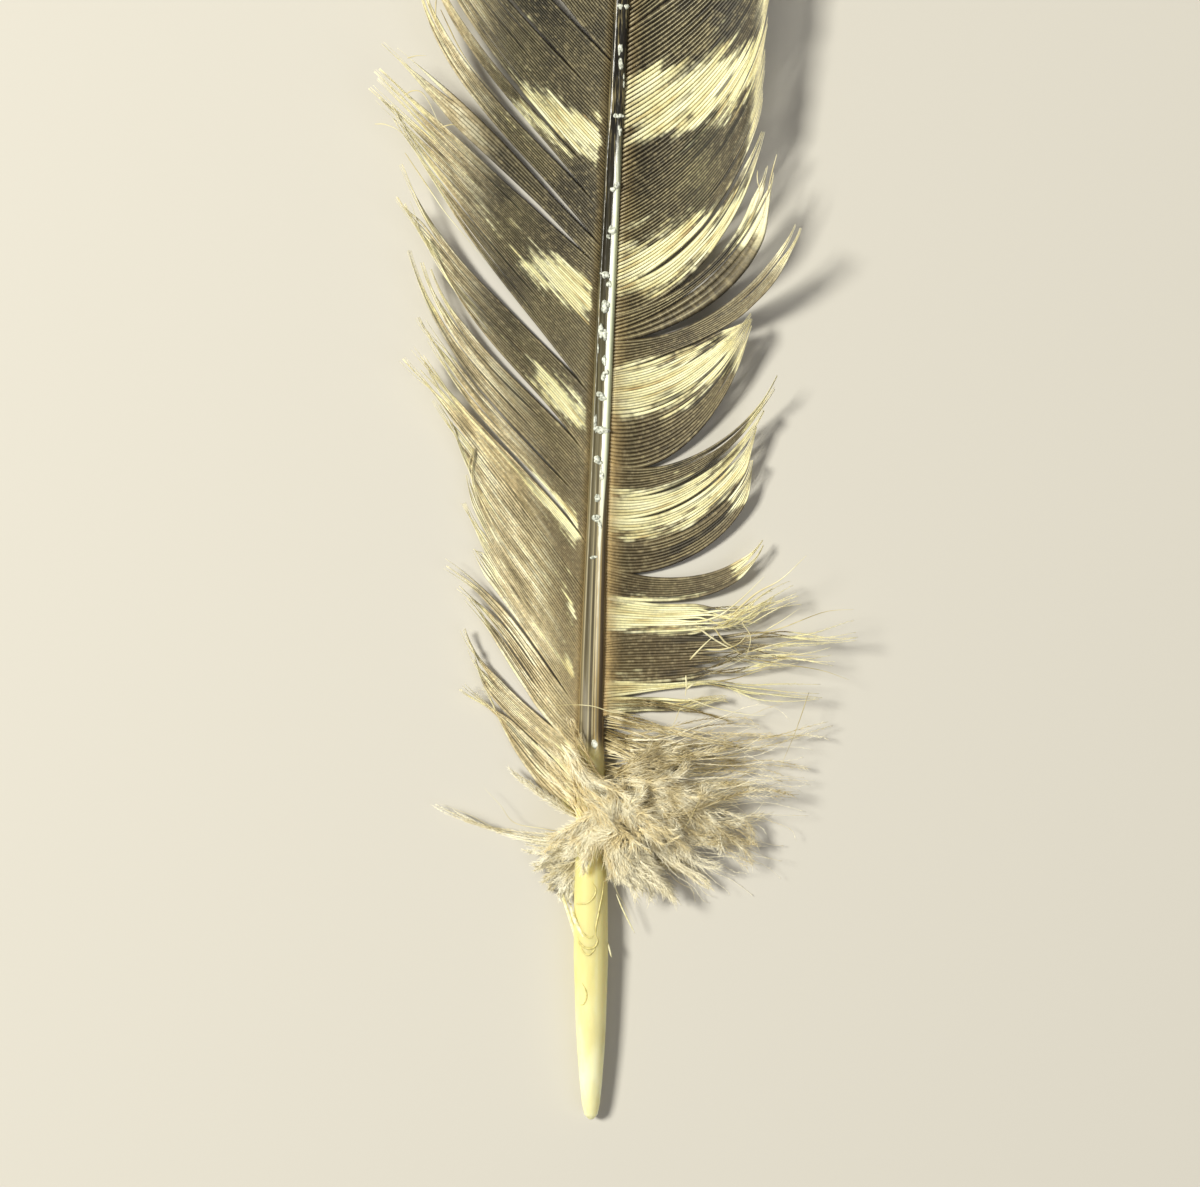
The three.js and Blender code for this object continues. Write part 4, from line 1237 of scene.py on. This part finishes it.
# Count is stems in the tuft, per is barbules on a stem and length is theirs, lock is stems in a lock, and
# stem is a stem's thickness as a radius. Loose (mm), short (a share) and stray (degrees) scatter the ends,
# lengths and headings, arch and sway bend the stems, floor and ceiling hold them between two heights, bright
# is added to their tone, and fibres holds what differs for the barbules.
TUFTS = {
    "down_right": [
        {
            "rows": [
                [1.0, 7, 1.8, 96, 27, 2, 3.6, 92], [1.0, 4, 1.8, 104, 29, -1, 3.2, 88],
                [1.0, 1, 1.8, 110, 27, -5, 3.2, 100],
            ],
            "count": 24, "per": 50, "length": 1.3, "loose": 1.6, "short": 0.55, "stray": 7,
            "arch": 0.06, "lock": 3, "stem": 0.14, "bright": -0.32, "fibres": COMBED,
        },
        {
            "rows": [
                [1.2, 2, 1.8, 100, 40.5, 6.2, 2.5, 84], [1.2, -2, 1.8, 104, 41, -1, 1.6, 92],
                [1.2, -5, 1.8, 108, 40.5, -9, 1.2, 104],
            ],
            "count": 20, "per": 60, "length": 1.7, "loose": 1.0, "short": 0.5, "stray": 9, "arch": 0.05,
            "lock": 2, "fibres": {"start": 0.1},
        },
        {
            "rows": [
                [1.0, 3, 1.8, 112, 10.5, -1.0, 4.6, 104], [1.0, 0, 1.8, 116, 14.5, -4.2, 4.6, 112],
            ],
            "count": 12, "per": 40, "length": 0.9, "loose": 1.0, "short": 0.4, "stray": 10, "arch": 0.1,
            "lock": 4, "stem": 0.15, "bright": -0.15, "fibres": COMBED,
        },
        {
            "rows": [
                [1.2, -3, 1.8, 95, 32, 1, 3.2, 78], [3, -8, 3.2, 108, 35, -8, 2.4, 96],
                [3, -12, 3.0, 112, 33, -15.5, 1.6, 104],
            ],
            "count": 34, "per": 54, "length": 3.0, "loose": 2.6, "short": 0.6, "stray": 18,
            "arch": 0.16, "lock": 4, "fibres": {"start": 0.08},
        },
        {
            "rows": [
                [3, -12, 3.2, 110, 30, -17, 2.2, 104], [3, -15, 3.0, 120, 24, -23.5, 1.4, 132],
                [3, -18, 2.8, 138, 18, -25, 1.0, 140],
            ],
            "count": 28, "per": 50, "length": 3.2, "loose": 1.8, "short": 0.5, "stray": 14,
            "arch": 0.14, "lock": 5, "bright": 0.12,
        },
        {
            "rows": [
                [8, -14, 4.4, 128, 25.0, -26.4, 2.0, 136], [8, -15, 4.4, 132, 24.0, -26.8, 2.0, 138],
            ],
            "count": 8, "per": 70, "length": 1.4, "loose": 0.5, "short": 0.25, "stray": 5, "arch": 0.14,
            "lock": 8, "bright": 0.4, "fibres": COMBED,
        },
        # In this tuft, bright is partly painted light: it lightens the tuft against the shade cast on it from
        # the afterfeather above.
        {
            "rows": [
                [3.4, -14, 5.8, 130, 17, -21, 5.2, 140], [3, -15, 5.8, 150, 14.5, -26.5, 4.8, 160],
                [2.8, -16, 5.4, 168, 9, -28, 4.2, 176],
            ],
            "count": 26, "per": 60, "length": 3.0, "loose": 1.3, "short": 0.4, "stray": 12, "arch": 0.2,
            "lock": 4, "ceiling": 7.5, "bright": 0.85,
        },
    ],
    "down_right_top": [
        {
            "rows": [
                [4, -4, 4.6, 80, 18, -1.5, 5.4, 72], [5, -6, 4.8, 92, 26, -6, 5.2, 90],
                [5, -9, 4.8, 106, 34, -12, 4.6, 104], [5, -12, 4.6, 118, 31, -19, 4.2, 118],
            ],
            "count": 56, "per": 60, "length": 3.0, "loose": 2.2, "short": 0.6, "stray": 26, "arch": 0.2,
            "lock": 4, "floor": 3.2, "ceiling": 6.6, "fibres": {"start": 0.05},
        },
        {
            "rows": [
                [12, -4, 5.2, 140, 22, -15, 5.0, 128], [10, -7, 5.4, 132, 25, -20, 4.4, 124],
                [7, -10, 5.6, 140, 19, -23, 4.4, 134],
            ],
            "count": 44, "per": 60, "length": 3.0, "loose": 1.8, "short": 0.5, "stray": 20, "arch": 0.2,
            "lock": 4, "floor": 3.6, "ceiling": 6.8, "bright": 0.15, "fibres": {"start": 0.05},
        },
        {
            "rows": [
                [6, 2, 3.6, 80, 35, 9, 3.5, 66], [8, -4, 3.6, 90, 40, -1, 3.0, 84],
                [8, -10, 3.4, 100, 39, -10, 2.5, 104], [6, -14, 3.2, 110, 33, -20, 2.0, 116],
            ],
            "count": 34, "per": 16, "length": 0.9, "loose": 1.2, "short": 0.3, "stray": 16, "arch": 0.1,
            "lock": 1, "stem": 0.075, "sway": 0.6, "bright": 0.3,
        },
        {
            "rows": [
                [14, -12, 4.6, 112, 36, -17.5, 1.6, 104], [12, -14, 4.6, 124, 30, -20.5, 1.4, 116],
                [10, -15, 4.4, 132, 24.5, -27, 1.2, 140], [7, -17, 4.4, 160, 12, -29, 1.2, 150],
            ],
            "count": 16, "per": 14, "length": 0.8, "loose": 1.0, "short": 0.25, "stray": 10,
            "arch": 0.05, "lock": 1, "stem": 0.085, "sway": 0.5, "bright": 0.45,
        },
    ],
    "down_left": [
        {
            "rows": [
                [-1.5, -15.0, 2.6, 276, -26.4, -10.0, 1.5, 300],
                [-1.5, -16.8, 2.4, 270, -24.8, -10.4, 1.3, 300],
            ],
            "count": 4, "per": 110, "length": 1.2, "loose": 0.25, "short": 0.2, "stray": 2,
            "arch": 0.06, "lock": 2, "bright": 0.35, "sway": 0.15, "fibres": {"spread": (14, 32)},
        },
        {
            "rows": [
                [-1.5, -16.4, 2.4, 268, -12.5, -16.0, 1.5, 280],
                [-1.5, -17.0, 2.4, 264, -11.5, -17.2, 1.5, 262],
            ],
            "count": 7, "per": 70, "length": 1.2, "loose": 0.5, "short": 0.35, "stray": 8, "arch": 0.08,
            "lock": 4,
        },
        {
            "rows": [
                [-1.5, -17.2, 3.0, 262, -9.4, -19.6, 2.4, 236],
                [-1.5, -18.2, 3.0, 258, -8.8, -20.8, 2.0, 238],
            ],
            "count": 10, "per": 80, "length": 1.6, "loose": 0.6, "short": 0.2, "stray": 12, "arch": 0.2,
            "lock": 5, "bright": 0.3, "fibres": {"spread": (20, 45)},
        },
        {
            "rows": [
                [-1.6, -19, 2.8, 255, -9.0, -22.0, 1.8, 246],
                [-1.6, -19.8, 2.6, 250, -8.0, -23.2, 1.5, 228],
            ],
            "count": 10, "per": 80, "length": 1.5, "loose": 0.6, "short": 0.25, "stray": 12,
            "arch": 0.2, "lock": 5, "bright": 0.3, "fibres": {"spread": (20, 45)},
        },
        {
            "rows": [
                [-1.8, -20, 2.8, 248, -5.2, -26.2, 1.8, 168],
                [-2.2, -20.5, 2.8, 236, -4.0, -28.6, 1.6, 172],
            ],
            "count": 10, "per": 70, "length": 1.3, "loose": 0.6, "short": 0.35, "stray": 12,
            "arch": 0.16, "lock": 3, "bright": 0.3, "fibres": {"spread": (18, 40)},
        },
        {
            "rows": [
                [-1.8, -17, 2.0, 258, -11, -20.0, 1.0, 246], [-1.8, -19, 2.0, 240, -9, -24, 0.8, 215],
                [-2.0, -20, 1.8, 220, -5, -25.5, 0.8, 190],
            ],
            "count": 9, "per": 60, "length": 1.6, "loose": 1.0, "short": 0.5, "stray": 20, "arch": 0.1,
            "lock": 3,
        },
        {
            "rows": [
                [-2.2, -11.4, 2.8, 305, -18.0, 0.2, 2.4, 316],
                [-2.2, -12.2, 2.6, 300, -16.4, -2.2, 2.0, 312],
            ],
            "count": 4, "per": 80, "length": 1.4, "loose": 0.3, "short": 0.3, "stray": 3, "arch": 0.06,
            "lock": 2, "bright": 0.35, "sway": 0.15, "fibres": {"spread": (18, 40)},
        },
    ],
    "afterfeather": [
        {
            "rows": [
                [-0.5, -13, 5.4, 322, -9, -3, 5.0, 318], [1.2, -9, 5.6, 322, -8, 2, 5.2, 326],
                [2.2, -5, 5.6, 322, -4, 5, 5.0, 332],
            ],
            "count": 24, "per": 40, "length": 1.2, "bright": -0.1, "loose": 0.9, "short": 0.45,
            "stray": 6, "arch": 0.06, "floor": 4.6, "ceiling": 9.0, "lock": 3, "stem": 0.13,
            "fibres": COMBED,
        },
        {
            "rows": [
                [-4.5, 1, 5.2, 132, 9, -9, 7.0, 116], [-3, -4, 5.8, 136, 11, -14, 7.6, 124],
                [-2, -8, 6.2, 146, 10, -18, 7.0, 142],
            ],
            "count": 26, "per": 56, "length": 2.6, "loose": 2.2, "short": 0.5, "stray": 16, "arch": 0.2,
            "floor": 5.2, "ceiling": 9.6, "lock": 3,
        },
        {
            "rows": [
                [2.5, -11, 6.6, 150, 9, -20, 6.2, 152], [1.5, -12, 6.6, 180, 2, -23, 5.6, 182],
                [0.5, -12, 6.4, 212, -5.4, -20.5, 5.6, 222],
            ],
            "count": 32, "per": 60, "length": 2.4, "loose": 1.5, "short": 0.45, "stray": 16,
            "arch": 0.18, "floor": 5.2, "ceiling": 9.4, "lock": 4, "bright": 0.2,
        },
        {
            "rows": swirl_rows(6.2, -12.4, 7.6, 8.2),
            "count": 34, "per": 60, "length": 2.6, "loose": 1.4, "short": 0.45, "stray": 24,
            "arch": 0.24, "floor": 5.2, "ceiling": 9.6, "lock": 4, "bright": 0.12,
        },
        {
            "rows": [
                [3, -9, 6.6, 232, -9, -15.5, 5.8, 246], [3, -10, 6.6, 244, -8, -18, 5.6, 236],
            ],
            "count": 14, "per": 60, "length": 2.0, "loose": 1.0, "short": 0.4, "stray": 10,
            "arch": 0.16, "floor": 5.0, "ceiling": 9.0, "lock": 4, "bright": 0.1,
        },
        {
            "rows": [
                [3.2, -8.5, 7.0, 128, 8.4, -16.0, 8.2, 150],
                [5.2, -7.4, 7.0, 120, 11.0, -13.8, 8.0, 140],
            ],
            "count": 12, "per": 56, "length": 2.6, "loose": 0.9, "short": 0.35, "stray": 14,
            "arch": 0.16, "floor": 7.0, "ceiling": 10.0, "lock": 3, "bright": 0.15,
        },
    ],
}
print({name: sum(tuft["count"] for tuft in tufts) for name, tufts in TUFTS.items()}, "stems")

# %% [markdown]
# ## Downy keratin
# Down has almost no melanin and no hooks, so it is a soft matt tan that lets light through between fibres.
# Roots are browner, and the ends of the fibres nearly cream.

# %% Material of the down
def down_material(name, deep, middle, light):
    """Matt tan fibres: browner at the roots, creamier towards the ends, each stem in its own tone."""
    material, node = new_material(name)
    own = (node("Attribute", attribute_name=key, out="Fac") for key in ("tone", "reach", "fine"))
    tone, reach, fine = own
    place = node("TexCoord", out="Object")
    patch = node("TexNoise", {"Vector": place, "Scale": 240.0, "Detail": 2.0})
    cloud = node("MapRange", {0: patch, 1: 0.35, 2: 0.65, 3: 0.0, 4: 0.35}, **STEP)
    level = node("Math", {0: tone, 1: 0.62, 2: cloud}, operation="MULTIPLY_ADD")
    level = node("Math", {0: fine, 1: 0.22, 2: level}, operation="MULTIPLY_ADD")
    level = node("Math", {0: reach, 1: 0.2, 2: level}, operation="MULTIPLY_ADD")
    colour = node("ValToRGB", {0: level}, stops=[(0.22, deep), (0.54, middle), (0.92, light)])
    shader = node("BsdfPrincipled", {"Base Color": colour, "Roughness": 0.7, "Specular IOR Level": 0.1})
    node("OutputMaterial", {"Surface": shader})
    return material


# %% All the down
DOWN_STEM = 0.11
DOWN_COLOURS = {
    "down_right_top": ("#8A7A54", "#D8C89C", "#FFF8DE"),
    "down_right": ("#7C6C46", "#D0C092", "#FFF7DA"),
    "down_left": ("#8A7C58", "#D6CAA2", "#FFFAE4"),
    "afterfeather": ("#A8956A", "#ECDAA8", "#FFF8DC"),
}
for number, (name, tufts) in enumerate(TUFTS.items()):
    groups = []
    for index, tuft in enumerate(tufts):
        seed = 1000 + 50 * number + index
        path, tone = fan_paths(tuft, seed)
        shape = tuft.get("fibres", {})
        stem = tuft.get("stem", DOWN_STEM)
        groups += downy_groups(path, tone, seed, tuft["per"], tuft["length"], stem, **shape)
    down = fibre_piece(f"{name}_fibres", groups, down_material(f"downy_keratin_{name}", *DOWN_COLOURS[name]))
    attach(down, "root")
    if name != "down_right_top":
        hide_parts(name)
    print(name, triangles(down), "triangles")

# %% [markdown]
# ## Stray barbs
# A shed feather has barbs that have left their web: single hairs that arch over the slits, cross the shaft or
# trail on the table, and bare ends low on the right vane with only short barbules left on them. Each stray is
# a smooth curve through a few given points.

# %% Strays, in millimetres
STRAYS = {
    "left": [
        [[-30.3, 97.1, 6], [-26.2, 91.0, 6], [-23.8, 87.5, 6], [-21.3, 84.5, 5.5], [-17.4, 80.0, 4]],
        [
            [-30.3, 106.1, 7], [-29.0, 106.7, 7.6], [-27.4, 106.4, 8], [-26.1, 104.6, 8],
            [-25.1, 102.5, 7.5], [-23.4, 98.9, 6],
        ],
        [[-24.3, 100.7, 8], [-22.1, 101.0, 8.4], [-20.3, 100.1, 7]],
        [[-24.9, 121.3, 9], [-25.0, 118.9, 9], [-24.7, 116.5, 8]],
        [[-24.2, 119.4, 9], [-21.2, 113.2, 9], [-18.7, 109.7, 8], [-14.7, 105.5, 6]],
        [[-29.7, 111.9, 8], [-28.1, 112.3, 8], [-26.6, 112.3, 8]],
        [[-35.2, 101.8, 6], [-33.4, 101.6, 6.4], [-31.1, 100.5, 6.4], [-27.9, 97.6, 6]],
    ],
    "right": [
        [[26.8, 93.2, 10], [26.8, 91.6, 10], [27.1, 89.5, 10], [26.0, 86.3, 9]],
        [[29.9, 95.8, 10], [28.9, 91.9, 10], [27.9, 87.1, 9.6], [26.8, 83.5, 9]],
        [
            [27.3, 20.4, 5], [24.8, 20.6, 5.4], [26.1, 18.4, 5], [25.8, 16.0, 4.6], [24.5, 14.3, 4.6],
            [17.9, 11.4, 3.4],
        ],
        [[8.0, 5.4, 6.4], [3.4, 6.0, 6.6], [-0.1, 7.0, 6.8], [-5.0, 7.0, 5.6], [-9.9, 6.0, 4.4]],
        [[25.3, 18.4, 5.0], [30.7, 19.5, 6.0], [37.8, 22.2, 7.0], [42.6, 22.7, 8.0]],
        [[25.3, 15.5, 5.0], [29.5, 16.8, 5.7], [33.7, 17.6, 6.3], [39.4, 17.8, 7.0]],
        [[25.3, 15.0, 5.0], [30.8, 15.3, 5.3], [35.4, 15.1, 5.7], [38.8, 15.0, 6.0]],
        [[24.5, 14.8, 5.0], [30.8, 13.8, 5.0], [37.6, 12.7, 5.0], [42.3, 11.1, 5.0]],
        [[19.4, 10.7, 5.0], [23.6, 11.4, 5.3], [27.8, 12.7, 5.7], [31.7, 13.3, 6.0]],
        [[16.0, 8.0, 4.0], [20.3, 6.5, 4.0], [25.4, 5.4, 4.0], [28.8, 5.2, 4.0]],
        [[28.6, 19.3, 6.0], [31.0, 20.8, 7.0], [33.9, 22.9, 8.0]],
    ],
    "locks": [
        [[18.9, 20.8, 5.0], [21.4, 21.9, 6.0], [24.5, 24.4, 7.0], [28.1, 28.0, 8.0]],
        [[22.7, 21.4, 6.0], [26.8, 25.2, 7.0], [30.9, 27.6, 8.0], [34.8, 31.4, 9.0]],
        [[17.1, 20.0, 6.5], [20.1, 17.8, 6.0], [23.1, 16.1, 5.5], [25.3, 15.0, 5.0]],
        [[16.2, 14.4, 5.0], [18.2, 16.6, 6.0], [20.1, 18.5, 7.0]],
        [[18.5, 16.1, 5.0], [21.4, 16.1, 5.8], [23.9, 17.0, 6.7], [25.5, 18.7, 7.5]],
        [[15.6, 9.5, 4.0], [17.3, 10.6, 4.5], [19.4, 10.8, 5.0]],
        [[15.5, 11.9, 6.0], [15.6, 10.2, 6.0], [15.4, 8.5, 6.0]],
        [[20.1, 19.6, 7.0], [21.8, 17.4, 6.5], [23.5, 16.4, 6.0], [24.6, 15.1, 5.5]],
    ],
    "down": [
        [
            [-1.0, -17.3, 1.6], [-5.1, -16.9, 2.2], [-11.8, -15.3, 2.2], [-20.0, -12.3, 1.6],
            [-26.7, -9.8, 1.0],
        ],
        [
            [-1.8, -15.8, 2.2], [-7.6, -15.8, 2.6], [-13.4, -14.8, 2.4], [-20.0, -11.4, 2.0],
            [-25.0, -9.6, 1.6],
        ],
        [
            [-2.1, -14.7, 2.2], [-7.6, -13.6, 2.8], [-12.6, -12.6, 2.6], [-15.0, -9.7, 2.4],
            [-17.7, -6.9, 2.0],
        ],
        [[3.5, -20.7, 2.8], [4.3, -24.1, 1.8], [5.5, -26.3, 1.2], [7.3, -29.9, 0.6]],
        [[35.7, 9.1, 5.0], [33.4, 2.6, 5.4], [30.1, -5.3, 5.0]],
        [[14.6, 6.7, 6.0], [13.9, 4.9, 6.2], [13.1, 3.0, 6.0]],
        [[18.1, -7.5, 6.6], [16.2, -11.3, 6.9], [14.0, -15.0, 6.6]],
    ],
}


def stray_group(curves, thick, seed):
    """Strays as a group of tubes that swell a little after the root and thin to the tip."""
    path = np.stack([through(curve) for curve in curves])
    u = np.linspace(0, 1, path.shape[1])
    taper = np.minimum(0.5 + 3 * u, 1) * (1 - 0.85 * u**1.3)
    tone = np.random.default_rng(seed).uniform(0.1, 0.75, (len(curves), 1))
    attributes = {"tone": tone, "reach": u[None], "fine": np.full((1, 1), 0.6)}
    radius = np.broadcast_to(thick * taper, path.shape[:2])
    return {"path": path, "radius": radius, "sides": 5, "flat": 0.6, "attributes": attributes}


print({name: len(curves) for name, curves in STRAYS.items()}, "strays")

# %% Strays and the fringe of the loose lower barbs
STRAY_THICKNESS = {"left": 0.12, "right": 0.11, "locks": 0.19, "down": 0.08}
bare_barb = down_material("bare_barb_keratin", "#8A7A50", "#CFC292", "#F6F0CC")
for part, curves in STRAYS.items():
    stray = fibre_piece(f"stray_barbs_{part}", [stray_group(curves, STRAY_THICKNESS[part], 5)], bare_barb)
    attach(stray, "root")

for number, node in enumerate(sorted(FRINGED)):
    web = webs[node]
    from_here = int(STEPS * web["zipped"].mean() * 0.85)
    loose = web["path"][:, from_here:]
    shape = {"start": 0.0, "spread": (18, 40), "thick": 0.04, "taper": 0.75}
    fibre, radius, owner, place = barbules(loose, 300 + number, 30, 1.3, **shape)
    tone = web["tone"][owner][:, None]
    attributes = {"tone": tone, "reach": place[:, None], "fine": BARBULE_PLACES[None]}
    group = {"path": fibre, "radius": radius, "sides": 3, "attributes": attributes}
    fringe = fibre_piece(f"{node}_fringe", [group], bare_barb)
    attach(fringe, "root")
    print(fringe.name, triangles(fringe), "triangles")

# %% [markdown]
# ## Stage
# A plain pale table and soft studio light: a key from the left, half way up and far enough away to be even,
# and a weak fill from the other side.

# %% Floor, lights and world
from mathutils import Vector

TABLE_HALF = 1.2
TABLE_DROP = -0.05 * MM
LIGHTS_AIM = Vector((0.0, 0.04, 0.0))
corners = [(x, y, TABLE_DROP) for x, y in ((-1, -1), (1, -1), (1, 1), (-1, 1))]
corners = [(x * TABLE_HALF, y * TABLE_HALF, z) for x, y, z in corners]
floor_mesh = bpy.data.meshes.new("table")
floor_mesh.from_pydata(corners, [], [(0, 1, 2, 3)])
floor = bpy.data.objects.new("table", floor_mesh)
bpy.context.scene.collection.objects.link(floor)
floor_material, node = new_material("pale_table")
node("OutputMaterial", {"Surface": node("BsdfPrincipled", {"Base Color": "#C9C5BC", "Roughness": 0.85})})
floor_mesh.materials.append(floor_material)


def area_light(name, location, size, power, colour):
    """A square area light aimed at the middle of the view."""
    light = bpy.data.lights.new(name, "AREA")
    light.size = size
    light.energy = power
    light.color = linear(colour)[:3]
    item = bpy.data.objects.new(name, light)
    item.location = location
    item.rotation_euler = (LIGHTS_AIM - Vector(location)).to_track_quat("-Z", "Y").to_euler()
    bpy.context.scene.collection.objects.link(item)


area_light("key", (-1.15, 0.42, 1.35), 0.42, 46.0, "#FFFDF2")
area_light("fill", (0.9, -0.6, 1.2), 1.0, 5.0, "#F6F8FF")
world = bpy.data.worlds.new("studio")
world.use_nodes = True
world.node_tree.nodes["Background"].inputs[0].default_value = linear("#E8E3D9")
world.node_tree.nodes["Background"].inputs[1].default_value = 0.25
bpy.context.scene.world = world
bpy.context.scene.view_settings.view_transform = "Standard"
print([light.name for light in bpy.data.lights], "and the world light the", floor.name)
